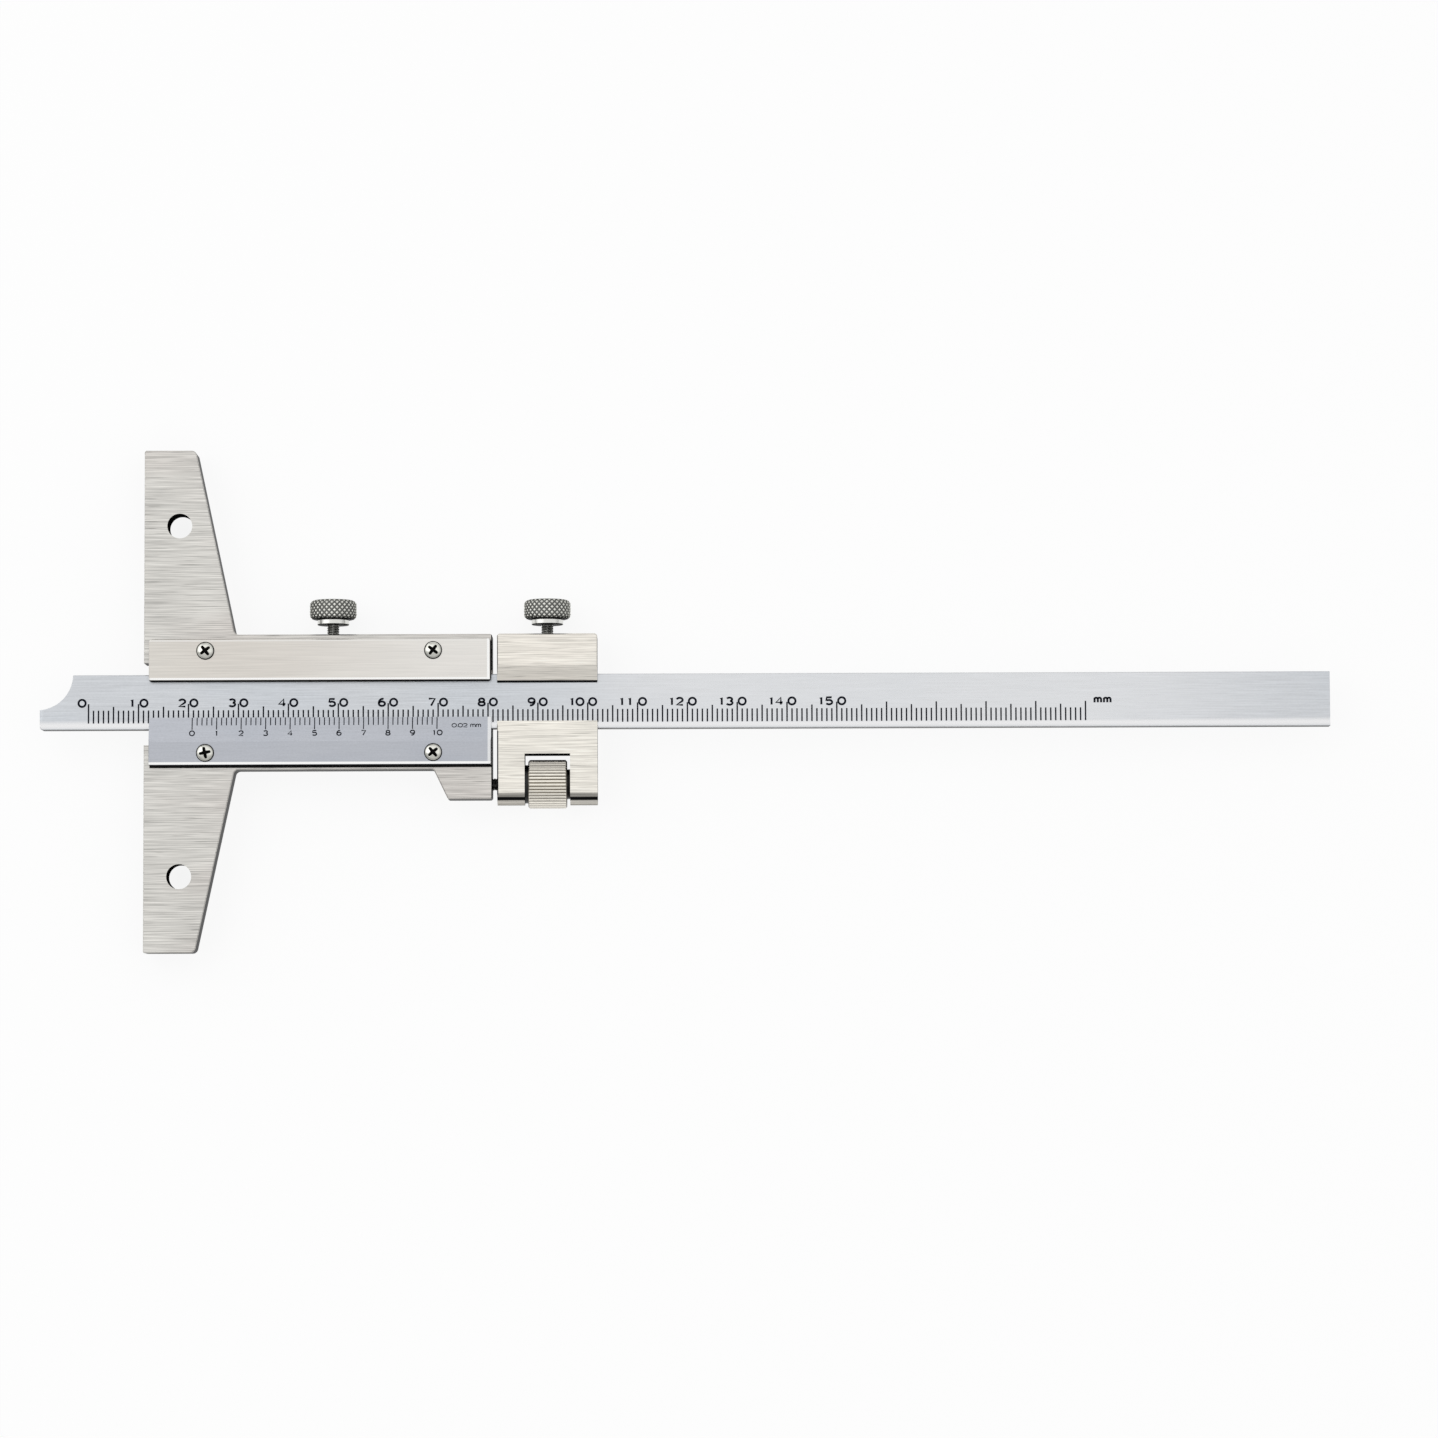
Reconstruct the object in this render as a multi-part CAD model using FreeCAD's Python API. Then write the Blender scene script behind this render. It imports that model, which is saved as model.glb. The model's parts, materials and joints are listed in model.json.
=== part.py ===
import FreeCAD, Part
import math
import os

from FreeCAD import Placement, Rotation, Vector

# A vernier depth gauge with a fine adjustment, lying on its back.
# X runs along the blade, away from its measuring tip, and is 0 on the measuring face.
# Y runs across the blade and is 0 on its centre line. Z is 0 on the base's back face,
# and points out of the side that carries the scales. All sizes are in millimetres.

# ---- driving dimensions: blade ----
BLADE_LENGTH = 259.0
BLADE_WIDTH = 11.0
BLADE_THICKNESS = 3.0
BLADE_EDGE_BREAK = 0.15
TIP_STANDS_OUT = 20.8          # reading of the gauge at rest
TIP_RELIEF_RADIUS = 7.2        # round cut that leaves a narrow foot at the tip
TIP_RELIEF_BEYOND = 0.54       # its centre lies this far beyond the tip
TIP_RELIEF_ABOVE = 0.2         # and this far above the blade's upper edge
TIP_CORNER_RADIUS = 0.7

# ---- driving dimensions: base ----
BASE_LENGTH = 101.0
BASE_OFFSET = 0.3              # of the wings' middle from the blade's centre line
BASE_THICKNESS = 6.5
BODY_LENGTH = 69.8
UPPER_RAIL_WIDTH = 7.15
LOWER_RAIL_WIDTH = 8.07
WING_ROOT_WIDTH = 18.2
WING_END_WIDTH = 10.3
WING_END_RADIUS = 1.1
WING_FACE_CORNER_RADIUS = 0.4
WING_ROOT_RADIUS = 1.0
BODY_CORNER_RADIUS = 0.5
BASE_EDGE_BREAK = 0.2
HOLDER_HOLE_DIAMETER = 5.0
HOLDER_HOLE_PITCH = 70.5
HOLDER_HOLE_SETBACK = 7.1
NOTCH_DEPTH = 1.1              # relief in the measuring face, round the blade
NOTCH_ABOVE_BLADE = 2.4
NOTCH_BELOW_BLADE = 3.1
LUG_LENGTH = 8.9
LUG_SLANT_LENGTH = 2.9
LUG_WALL = 3.05                # from the fine screw's axis to the lug's lower face

# ---- driving dimensions: plates and their screws ----
PLATE_THICKNESS = 1.3
PLATE_EDGE_MARGIN = 1.0        # strip of the body left bare beside each plate
PLATE_END_MARGIN = 0.2
PLATE_CORNER_RADIUS = 0.6
PLATE_EDGE_BREAK = 0.15
COVER_OVERLAP = 1.15           # over the blade's upper edge
VERNIER_OVERLAP = 2.4          # over the blade's lower edge
VERNIER_BEVEL_WIDTH = 4.9
VERNIER_READING_EDGE = 0.3     # thickness left at the reading edge
PLATE_SCREW_NEAR = 12.4        # from the measuring face
PLATE_SCREW_FAR = 11.8         # from the body's far end
PLATE_SCREW_MARGIN = 3.35      # from the body's edge
PLATE_SCREW_DIAMETER = 2.0
PLATE_SCREW_HEAD_DIAMETER = 3.6
PLATE_SCREW_HEAD_HEIGHT = 1.1
PLATE_SCREW_DOME = 0.45
PLATE_SCREW_DEPTH = 3.2        # thread length in the body
CROSS_WIDTH = 0.55
CROSS_DEPTH = 0.6
CROSS_SPAN = 2.1
CROSS_ANGLES = {"left_upper": 40.0, "right_upper": 30.0, "left_lower": 10.0, "right_lower": 40.0}

# ---- driving dimensions: gibs and clamp screws ----
GIB_THICKNESS = 0.8
GIB_END_MARGIN = 1.0
GIB_FREE_GAP = 0.05            # between the gib and the blade at rest
GIB_BACK_GAP = 0.10            # between the gib and the wall behind it at rest
GIB_DIMPLE_DIAMETER = 1.6
GIB_DIMPLE_DEPTH = 0.4
SLIDER_CLAMP_SETBACK = 37.8    # from the measuring face
CLAMP_AXIS_DEPTH = 2.2         # behind the body's front face
CLAMP_THREAD_DIAMETER = 2.5
CLAMP_COLLAR_DIAMETER = 6.35
CLAMP_COLLAR_HEIGHT = 0.75
CLAMP_COLLAR_STANDOFF = 2.0    # of bare thread between the body and the collar
CLAMP_HEAD_DIAMETER = 9.5
CLAMP_HEAD_HEIGHT = 4.25
CLAMP_HEAD_TOP_CHAMFER = 0.9
CLAMP_HEAD_UNDER_CHAMFER = 0.6
CLAMP_THREAD_STANDOFF = 0.15   # from the thread's end to the gib
SET_SCREW_DIAMETER = 2.0
SET_SCREW_LENGTH = 5.0
SET_SCREW_SPREAD = 14.8        # each side of the slider's clamp screw
SET_SCREW_SLOT_WIDTH = 0.4
SET_SCREW_SLOT_DEPTH = 0.7

# ---- driving dimensions: carriage ----
CARRIAGE_LENGTH = 20.1
CARRIAGE_GAP = 1.0             # to the slider, at rest
CARRIAGE_UPPER_RAIL_WIDTH = 7.1
CARRIAGE_LIP_THICKNESS = 1.1
CARRIAGE_LIP_EDGE = 0.45       # thickness left at the edge of each lip
CARRIAGE_UPPER_LIP_OVERLAP = 1.35
CARRIAGE_UPPER_BEVEL_WIDTH = 3.05
CARRIAGE_LOWER_LIP_OVERLAP = 1.55
CARRIAGE_LOWER_BEVEL_WIDTH = 1.7
CARRIAGE_END_BULGE = 0.45      # of the round end past half the carriage's thickness
CARRIAGE_CORNER_RADIUS = 0.6
CARRIAGE_EDGE_BREAK = 0.2

# ---- driving dimensions: fine adjustment ----
FINE_AXIS_BELOW_BODY = 2.95    # below the slider body's lower edge
FINE_SCREW_DIAMETER = 2.5
FINE_SCREW_SEAT = 8.0          # length held in the lug
FINE_SCREW_INSET = 2.4         # from its end to the carriage's far face
FINE_SCREW_POINT = 0.3
LOCK_PIN_DIAMETER = 1.2
LOCK_PIN_PAST_SCREW = 0.5
NUT_DIAMETER = 9.76
NUT_LENGTH = 7.75
NUT_CHAMFER = 0.3
NUT_FLUTES = 44                # straight grooves round the nut, for the finger
NUT_FLUTE_DEPTH = 0.22
NUT_FLUTE_ANGLE = 90.0         # between a groove's two sides
NUT_HUB_LENGTH = 0.6
NUT_HUB_DIAMETER = 6.0
NUT_END_PLAY = 0.05            # at each of the three faces between window, washer and nut
NUT_WASHER_DIAMETER = 7.7
NUT_WASHER_THICKNESS = 0.6
NUT_WINDOW_CLEARANCE = 1.07

# ---- clearances ----
SLIDE_GAP = 0.03               # each side of the blade, in its channel
RUNNING_GAP = 0.05             # round a screw that turns
SEAT_GAP = 0.01                # round a pin or screw that stays put
TIP_GAP = 0.02                 # between a clamp screw's point and its dimple
SHANK_GAP = 0.15               # round a plate screw, in its plate

# ---- places worked out from the sizes ----
BLADE_EDGE = BLADE_WIDTH / 2
CHANNEL_DEPTH = BLADE_THICKNESS + 2 * SLIDE_GAP
CHANNEL_FLOOR = BASE_THICKNESS - CHANNEL_DEPTH
CHANNEL_LOW = -(BLADE_EDGE + SLIDE_GAP)
GIB_LOW = BLADE_EDGE + GIB_FREE_GAP
GIB_HIGH = GIB_LOW + GIB_THICKNESS
CHANNEL_HIGH = GIB_HIGH + GIB_BACK_GAP
BODY_HIGH = CHANNEL_HIGH + UPPER_RAIL_WIDTH
BODY_LOW = CHANNEL_LOW - LOWER_RAIL_WIDTH
PLATE_FRONT = BASE_THICKNESS + PLATE_THICKNESS
CARRIAGE_FRONT = BASE_THICKNESS + CARRIAGE_LIP_THICKNESS
CARRIAGE_NEAR = BODY_LENGTH + CARRIAGE_GAP
CARRIAGE_FAR = CARRIAGE_NEAR + CARRIAGE_LENGTH
CARRIAGE_MIDDLE = (CARRIAGE_NEAR + CARRIAGE_FAR) / 2
CARRIAGE_HIGH = CHANNEL_HIGH + CARRIAGE_UPPER_RAIL_WIDTH
CLAMP_AXIS_HEIGHT = BASE_THICKNESS - CLAMP_AXIS_DEPTH
FINE_AXIS_HEIGHT = CARRIAGE_FRONT / 2
FINE_AXIS_Y = BODY_LOW - FINE_AXIS_BELOW_BODY
WINDOW_LENGTH = NUT_WASHER_THICKNESS + NUT_LENGTH + NUT_HUB_LENGTH + 3 * NUT_END_PLAY
WINDOW_NEAR = CARRIAGE_MIDDLE - WINDOW_LENGTH / 2
WINDOW_HIGH = FINE_AXIS_Y + NUT_DIAMETER / 2 + NUT_WINDOW_CLEARANCE
WASHER_NEAR = WINDOW_NEAR + NUT_END_PLAY
NUT_NEAR = WASHER_NEAR + NUT_WASHER_THICKNESS + NUT_END_PLAY


# ---- tools ----
def rounded_outline(corners):
    """Closed wire in the XY plane through corners (x, y, radius); a radius of 0 stays sharp."""
    starts, ends, edges = [], [], []
    count = len(corners)
    for i, (x, y, radius) in enumerate(corners):
        corner = Vector(x, y, 0)
        before = Vector(*corners[i - 1][:2], 0) - corner
        after = Vector(*corners[(i + 1) % count][:2], 0) - corner
        before.normalize()
        after.normalize()
        half_angle = before.getAngle(after) / 2
        cut_back = radius / math.tan(half_angle)
        start = corner + before * cut_back
        end = corner + after * cut_back
        starts.append(start)
        ends.append(end)
        if radius > 0:
            to_centre = before + after
            to_centre.normalize()
            crest = corner + to_centre * (radius / math.sin(half_angle) - radius)
            edges.append(Part.Arc(start, crest, end).toShape())
    for i in range(count):
        edges.append(Part.LineSegment(ends[i - 1], starts[i]).toShape())
    return Part.Wire(Part.sortEdges(edges)[0])


def prism(corners, low, high):
    """Solid of an XY outline between two heights."""
    face = Part.Face(rounded_outline(corners))
    face.translate(Vector(0, 0, low))
    return face.extrude(Vector(0, 0, high - low))


def block(x_range, y_range, z_range):
    """Box between three pairs of limits."""
    low = Vector(x_range[0], y_range[0], z_range[0])
    high = Vector(x_range[1], y_range[1], z_range[1])
    size = high - low
    return Part.makeBox(size.x, size.y, size.z, low)


def turned(profile, place, direction):
    """Solid of revolution: the profile's points are (radius, height), heights run along direction."""
    points = [Vector(radius, 0, height) for radius, height in profile]
    face = Part.Face(Part.makePolygon(points + points[:1]))
    solid = face.revolve(Vector(0, 0, 0), Vector(0, 0, 1), 360)
    solid.Placement = Placement(place, Rotation(Vector(0, 0, 1), direction))
    return solid


def drill(diameter, start, direction, length):
    """Cylinder that cuts a round hole."""
    return Part.makeCylinder(diameter / 2, length, start, direction)


def break_edges(solid, size, chosen):
    """Small chamfer on the edges that the function chosen picks."""
    return solid.makeChamfer(size, [edge for edge in solid.Edges if chosen(edge)])


def lies_at(edge, height):
    """Does the whole edge lie at this height?"""
    box = edge.BoundBox
    return abs(box.ZMin - height) < 1e-6 and abs(box.ZMax - height) < 1e-6


def export(name, shape):
    """Write one named piece."""
    shape.exportStep(f"parts/{name}.step")


# ---- pieces ----
def make_blade():
    """Graduated blade with a round relief that leaves a narrow foot at its tip."""
    tip = -TIP_STANDS_OUT
    end = tip + BLADE_LENGTH
    low = CHANNEL_FLOOR + SLIDE_GAP
    high = low + BLADE_THICKNESS
    outline = [
        (tip, -BLADE_EDGE, TIP_CORNER_RADIUS),
        (end, -BLADE_EDGE, 0),
        (end, BLADE_EDGE, 0),
        (tip, BLADE_EDGE, 0),
    ]
    blade = prism(outline, low, high)
    centre = Vector(tip - TIP_RELIEF_BEYOND, BLADE_EDGE + TIP_RELIEF_ABOVE, low)
    blade = blade.cut(Part.makeCylinder(TIP_RELIEF_RADIUS, BLADE_THICKNESS, centre))
    return break_edges(
        blade,
        BLADE_EDGE_BREAK,
        lambda edge: edge.Length > BLADE_LENGTH / 2,
    )


def base_outline():
    """Outline of the base: two tapered wings, the slider body and the lug."""
    wing_high = BASE_OFFSET + BASE_LENGTH / 2
    wing_low = BASE_OFFSET - BASE_LENGTH / 2
    lug_low = FINE_AXIS_Y - LUG_WALL
    lug_near = BODY_LENGTH - LUG_LENGTH
    return [
        (0, wing_high, WING_FACE_CORNER_RADIUS),
        (0, wing_low, WING_FACE_CORNER_RADIUS),
        (WING_END_WIDTH, wing_low, WING_END_RADIUS),
        (WING_ROOT_WIDTH, BODY_LOW, WING_ROOT_RADIUS),
        (lug_near - LUG_SLANT_LENGTH, BODY_LOW, BODY_CORNER_RADIUS),
        (lug_near, lug_low, BODY_CORNER_RADIUS),
        (BODY_LENGTH, lug_low, BODY_CORNER_RADIUS),
        (BODY_LENGTH, BODY_HIGH, BODY_CORNER_RADIUS),
        (WING_ROOT_WIDTH, BODY_HIGH, WING_ROOT_RADIUS),
        (WING_END_WIDTH, wing_high, WING_END_RADIUS),
    ]


def make_base_body():
    """Base and slider in one piece, with the blade's channel and all its holes."""
    body = prism(base_outline(), 0, BASE_THICKNESS)
    body = break_edges(
        body,
        BASE_EDGE_BREAK,
        lambda edge: lies_at(edge, 0) or lies_at(edge, BASE_THICKNESS),
    )
    cuts = [
        block((0, BODY_LENGTH), (CHANNEL_LOW, CHANNEL_HIGH), (CHANNEL_FLOOR, BASE_THICKNESS)),
        relief_notch(),
    ]
    for side in (-1, 1):
        centre = Vector(HOLDER_HOLE_SETBACK, BASE_OFFSET + side * HOLDER_HOLE_PITCH / 2, 0)
        cuts.append(drill(HOLDER_HOLE_DIAMETER, centre, Vector(0, 0, 1), BASE_THICKNESS))
    for place in plate_screw_centres().values():
        start = Vector(place.x, place.y, BASE_THICKNESS)
        thread = PLATE_SCREW_DIAMETER + 2 * SEAT_GAP
        cuts.append(drill(thread, start, Vector(0, 0, -1), PLATE_SCREW_DEPTH + SEAT_GAP))
    for across in set_screw_places():
        start = Vector(across, BODY_HIGH, CLAMP_AXIS_HEIGHT)
        thread = SET_SCREW_DIAMETER + 2 * SEAT_GAP
        cuts.append(drill(thread, start, Vector(0, -1, 0), BODY_HIGH - CHANNEL_HIGH))
    cuts.append(clamp_hole(SLIDER_CLAMP_SETBACK, BODY_HIGH))
    seat = Vector(BODY_LENGTH, FINE_AXIS_Y, FINE_AXIS_HEIGHT)
    seat_hole = FINE_SCREW_DIAMETER + 2 * SEAT_GAP
    cuts.append(drill(seat_hole, seat, Vector(-1, 0, 0), FINE_SCREW_SEAT + SEAT_GAP))
    cuts.append(lock_pin_shape(SEAT_GAP))
    return body.cut(cuts)


def relief_notch():
    """Notch that keeps the measuring face clear of the blade's edges."""
    return block(
        (0, NOTCH_DEPTH),
        (-BLADE_EDGE - NOTCH_BELOW_BLADE, BLADE_EDGE + NOTCH_ABOVE_BLADE),
        (0, BASE_THICKNESS),
    )


def plate_screw_centres():
    """Centre of each plate screw, by name, on the body's front face."""
    upper = BODY_HIGH - PLATE_SCREW_MARGIN
    lower = BODY_LOW + PLATE_SCREW_MARGIN
    near = PLATE_SCREW_NEAR
    far = BODY_LENGTH - PLATE_SCREW_FAR
    return {
        "left_upper": Vector(near, upper, BASE_THICKNESS),
        "right_upper": Vector(far, upper, BASE_THICKNESS),
        "left_lower": Vector(near, lower, BASE_THICKNESS),
        "right_lower": Vector(far, lower, BASE_THICKNESS),
    }


def plate_outline(low, high, low_radius, high_radius):
    """Outline of a plate on the body's front, as long as the body behind the relief notch."""
    near = NOTCH_DEPTH
    far = BODY_LENGTH - PLATE_END_MARGIN
    return [
        (near, low, low_radius),
        (far, low, low_radius),
        (far, high, high_radius),
        (near, high, high_radius),
    ]


def pierce_plate(plate, names):
    """Cut the clearance holes of the named screws into a plate."""
    centres = plate_screw_centres()
    hole = PLATE_SCREW_DIAMETER + 2 * SHANK_GAP
    cuts = [drill(hole, centres[name], Vector(0, 0, 1), PLATE_THICKNESS) for name in names]
    return plate.cut(cuts)


def make_cover_plate():
    """Plain plate that holds the blade's upper edge in the channel."""
    low = BLADE_EDGE - COVER_OVERLAP
    high = BODY_HIGH - PLATE_EDGE_MARGIN
    outline = plate_outline(low, high, PLATE_CORNER_RADIUS, PLATE_CORNER_RADIUS)
    plate = prism(outline, BASE_THICKNESS, PLATE_FRONT)
    plate = break_edges(plate, PLATE_EDGE_BREAK, lambda edge: lies_at(edge, PLATE_FRONT))
    return pierce_plate(plate, ["left_upper", "right_upper"])


def make_vernier_plate():
    """Plate that carries the vernier scale, bevelled down to its reading edge."""
    low = BODY_LOW + PLATE_EDGE_MARGIN
    high = -BLADE_EDGE + VERNIER_OVERLAP
    plate = prism(plate_outline(low, high, PLATE_CORNER_RADIUS, 0), BASE_THICKNESS, PLATE_FRONT)
    wedge = Part.makePolygon(
        [
            Vector(0, high, BASE_THICKNESS + VERNIER_READING_EDGE),
            Vector(0, high, PLATE_FRONT),
            Vector(0, high - VERNIER_BEVEL_WIDTH, PLATE_FRONT),
            Vector(0, high, BASE_THICKNESS + VERNIER_READING_EDGE),
        ]
    )
    plate = plate.cut(Part.Face(wedge).extrude(Vector(BODY_LENGTH, 0, 0)))
    plate = break_edges(
        plate,
        PLATE_EDGE_BREAK,
        lambda edge: lies_at(edge, PLATE_FRONT) and edge.BoundBox.YMax < low + 1e-6,
    )
    return pierce_plate(plate, ["left_lower", "right_lower"])


def make_plate_screw(name):
    """Pan-head screw with a cross recess, seated on its plate."""
    centre = plate_screw_centres()[name]
    head = PLATE_SCREW_HEAD_DIAMETER / 2
    shank = PLATE_SCREW_DIAMETER / 2
    rim = PLATE_SCREW_HEAD_HEIGHT - PLATE_SCREW_DOME
    seat = Vector(centre.x, centre.y, PLATE_FRONT)
    below = PLATE_THICKNESS + PLATE_SCREW_DEPTH
    screw = turned(
        [
            (0, -below),
            (shank, -below),
            (shank, 0),
            (head, 0),
            (head, rim),
            (0, rim),
        ],
        seat,
        Vector(0, 0, 1),
    )
    dome_radius = (head**2 + PLATE_SCREW_DOME**2) / (2 * PLATE_SCREW_DOME)
    ball = Part.makeSphere(dome_radius, seat + Vector(0, 0, PLATE_SCREW_HEAD_HEIGHT - dome_radius))
    rim_plane = seat + Vector(0, 0, rim)
    dome = ball.common(Part.makeCylinder(head, PLATE_SCREW_HEAD_HEIGHT, rim_plane))
    screw = screw.fuse(dome).removeSplitter()
    return screw.cut(cross_recess(seat, CROSS_ANGLES[name]))


def cross_recess(seat, angle):
    """Two crossed slots in a screw head's top."""
    top = seat.z + PLATE_SCREW_HEAD_HEIGHT
    slots = []
    for turn in (angle, angle + 90):
        half_span = CROSS_SPAN / 2
        half_width = CROSS_WIDTH / 2
        slot = block(
            (-half_span, half_span),
            (-half_width, half_width),
            (top - CROSS_DEPTH, top),
        )
        slot.rotate(Vector(0, 0, 0), Vector(0, 0, 1), turn)
        slot.translate(Vector(seat.x, seat.y, 0))
        slots.append(slot)
    return slots[0].fuse(slots[1])


def clamp_hole(across, top):
    """Hole for a clamp screw, from the top face down into the blade's channel."""
    start = Vector(across, top, CLAMP_AXIS_HEIGHT)
    diameter = CLAMP_THREAD_DIAMETER + 2 * RUNNING_GAP
    return drill(diameter, start, Vector(0, -1, 0), top - CHANNEL_HIGH)


def make_gib(near, far, across):
    """Strip between the blade and the rail, dimpled where its clamp screw presses."""
    low = CHANNEL_FLOOR + SLIDE_GAP
    gib = block(
        (near + GIB_END_MARGIN, far - GIB_END_MARGIN),
        (GIB_LOW, GIB_HIGH),
        (low, low + BLADE_THICKNESS),
    )
    mouth = Vector(across, GIB_HIGH, CLAMP_AXIS_HEIGHT)
    return gib.cut(drill(GIB_DIMPLE_DIAMETER, mouth, Vector(0, -1, 0), GIB_DIMPLE_DEPTH))


def set_screw_places():
    """Where the slider's two gib set screws stand, along the blade."""
    return (SLIDER_CLAMP_SETBACK - SET_SCREW_SPREAD, SLIDER_CLAMP_SETBACK + SET_SCREW_SPREAD)


def make_set_screw(across):
    """Headless slotted screw behind the gib, level with the channel's wall."""
    foot = Vector(across, CHANNEL_HIGH, CLAMP_AXIS_HEIGHT)
    screw = drill(SET_SCREW_DIAMETER, foot, Vector(0, 1, 0), SET_SCREW_LENGTH)
    top = CHANNEL_HIGH + SET_SCREW_LENGTH
    slot = block(
        (across - SET_SCREW_DIAMETER, across + SET_SCREW_DIAMETER),
        (top - SET_SCREW_SLOT_DEPTH, top),
        (CLAMP_AXIS_HEIGHT - SET_SCREW_SLOT_WIDTH / 2, CLAMP_AXIS_HEIGHT + SET_SCREW_SLOT_WIDTH / 2),
    )
    return screw.cut(slot)


def make_clamp_screw(across, top):
    """Thumb screw: chamfered head, collar, thread and the point that sits in the gib."""
    thread = CLAMP_THREAD_DIAMETER / 2
    point = GIB_DIMPLE_DIAMETER / 2 - RUNNING_GAP
    collar = CLAMP_COLLAR_DIAMETER / 2
    head = CLAMP_HEAD_DIAMETER / 2
    point_end = GIB_HIGH - GIB_DIMPLE_DEPTH + TIP_GAP
    thread_end = GIB_HIGH + CLAMP_THREAD_STANDOFF
    collar_low = top + CLAMP_COLLAR_STANDOFF
    head_low = collar_low + CLAMP_COLLAR_HEIGHT
    head_high = head_low + CLAMP_HEAD_HEIGHT
    profile = [
        (0, point_end),
        (point, point_end),
        (point, thread_end),
        (thread, thread_end),
        (thread, collar_low),
        (collar, collar_low),
        (collar, head_low),
        (head - CLAMP_HEAD_UNDER_CHAMFER, head_low),
        (head, head_low + CLAMP_HEAD_UNDER_CHAMFER),
        (head, head_high - CLAMP_HEAD_TOP_CHAMFER),
        (head - CLAMP_HEAD_TOP_CHAMFER, head_high),
        (0, head_high),
    ]
    return turned(profile, Vector(across, 0, CLAMP_AXIS_HEIGHT), Vector(0, 1, 0))


def carriage_section():
    """Section of the carriage across the blade, as a face in the YZ plane."""
    upper_edge = BLADE_EDGE - CARRIAGE_UPPER_LIP_OVERLAP
    lower_edge = -BLADE_EDGE + CARRIAGE_LOWER_LIP_OVERLAP
    lip_back = BASE_THICKNESS
    lip_edge = BASE_THICKNESS + CARRIAGE_LIP_EDGE
    round_radius = FINE_AXIS_HEIGHT + CARRIAGE_END_BULGE
    straight_end = FINE_AXIS_Y - math.sqrt(round_radius**2 - FINE_AXIS_HEIGHT**2)
    lowest = FINE_AXIS_Y - round_radius
    points = [
        (straight_end, 0),
        (CARRIAGE_HIGH, 0),
        (CARRIAGE_HIGH, CARRIAGE_FRONT),
        (upper_edge + CARRIAGE_UPPER_BEVEL_WIDTH, CARRIAGE_FRONT),
        (upper_edge, lip_edge),
        (upper_edge, lip_back),
        (CHANNEL_HIGH, lip_back),
        (CHANNEL_HIGH, CHANNEL_FLOOR),
        (CHANNEL_LOW, CHANNEL_FLOOR),
        (CHANNEL_LOW, lip_back),
        (lower_edge, lip_back),
        (lower_edge, lip_edge),
        (lower_edge - CARRIAGE_LOWER_BEVEL_WIDTH, CARRIAGE_FRONT),
        (straight_end, CARRIAGE_FRONT),
    ]
    corners = [Vector(CARRIAGE_NEAR, y, z) for y, z in points]
    lines = [Part.LineSegment(a, b).toShape() for a, b in zip(corners, corners[1:])]
    crest = Vector(CARRIAGE_NEAR, lowest, FINE_AXIS_HEIGHT)
    lines.append(Part.Arc(corners[-1], crest, corners[0]).toShape())
    return Part.Face(Part.Wire(lines))


def make_carriage_body():
    """Fine-adjustment carriage: grips the blade, and holds the nut in its window."""
    body = carriage_section().extrude(Vector(CARRIAGE_LENGTH, 0, 0))
    upright = [
        edge
        for edge in body.Edges
        if edge.BoundBox.ZLength > FINE_AXIS_HEIGHT and edge.BoundBox.YMin > CARRIAGE_HIGH - 1e-6
    ]
    body = body.makeFillet(CARRIAGE_CORNER_RADIUS, upright)
    body = break_edges(
        body,
        CARRIAGE_EDGE_BREAK,
        lambda edge: lies_at(edge, CARRIAGE_FRONT) and edge.BoundBox.YMin > BLADE_EDGE,
    )
    window = block(
        (WINDOW_NEAR, WINDOW_NEAR + WINDOW_LENGTH),
        (FINE_AXIS_Y - NUT_DIAMETER, WINDOW_HIGH),
        (0, CARRIAGE_FRONT),
    )
    bore = drill(
        FINE_SCREW_DIAMETER + 2 * RUNNING_GAP,
        Vector(CARRIAGE_NEAR, FINE_AXIS_Y, FINE_AXIS_HEIGHT),
        Vector(1, 0, 0),
        CARRIAGE_LENGTH,
    )
    return body.cut([window, bore, clamp_hole(CARRIAGE_MIDDLE, CARRIAGE_HIGH)])


def make_fine_adjust_screw():
    """Threaded rod that is fixed in the lug and passes through the carriage and its nut."""
    radius = FINE_SCREW_DIAMETER / 2
    near = BODY_LENGTH - FINE_SCREW_SEAT
    length = CARRIAGE_FAR - FINE_SCREW_INSET - near
    profile = [
        (0, 0),
        (radius, 0),
        (radius, length - FINE_SCREW_POINT),
        (radius - FINE_SCREW_POINT, length),
        (0, length),
    ]
    screw = turned(profile, Vector(near, FINE_AXIS_Y, FINE_AXIS_HEIGHT), Vector(1, 0, 0))
    return screw.cut(lock_pin_shape(SEAT_GAP))


def lock_pin_shape(gap):
    """Pin across the lug and the fine screw, from the back, larger all round by the gap."""
    middle = BODY_LENGTH - FINE_SCREW_SEAT / 2
    length = FINE_AXIS_HEIGHT + FINE_SCREW_DIAMETER / 2 + LOCK_PIN_PAST_SCREW
    foot = Vector(middle, FINE_AXIS_Y, 0)
    return drill(LOCK_PIN_DIAMETER + 2 * gap, foot, Vector(0, 0, 1), length + gap)


def make_nut_washer():
    """Washer between the window's near wall and the nut."""
    start = Vector(WASHER_NEAR, FINE_AXIS_Y, FINE_AXIS_HEIGHT)
    along = Vector(1, 0, 0)
    bore = drill(FINE_SCREW_DIAMETER + 2 * RUNNING_GAP, start, along, NUT_WASHER_THICKNESS)
    return drill(NUT_WASHER_DIAMETER, start, along, NUT_WASHER_THICKNESS).cut(bore)


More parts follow.
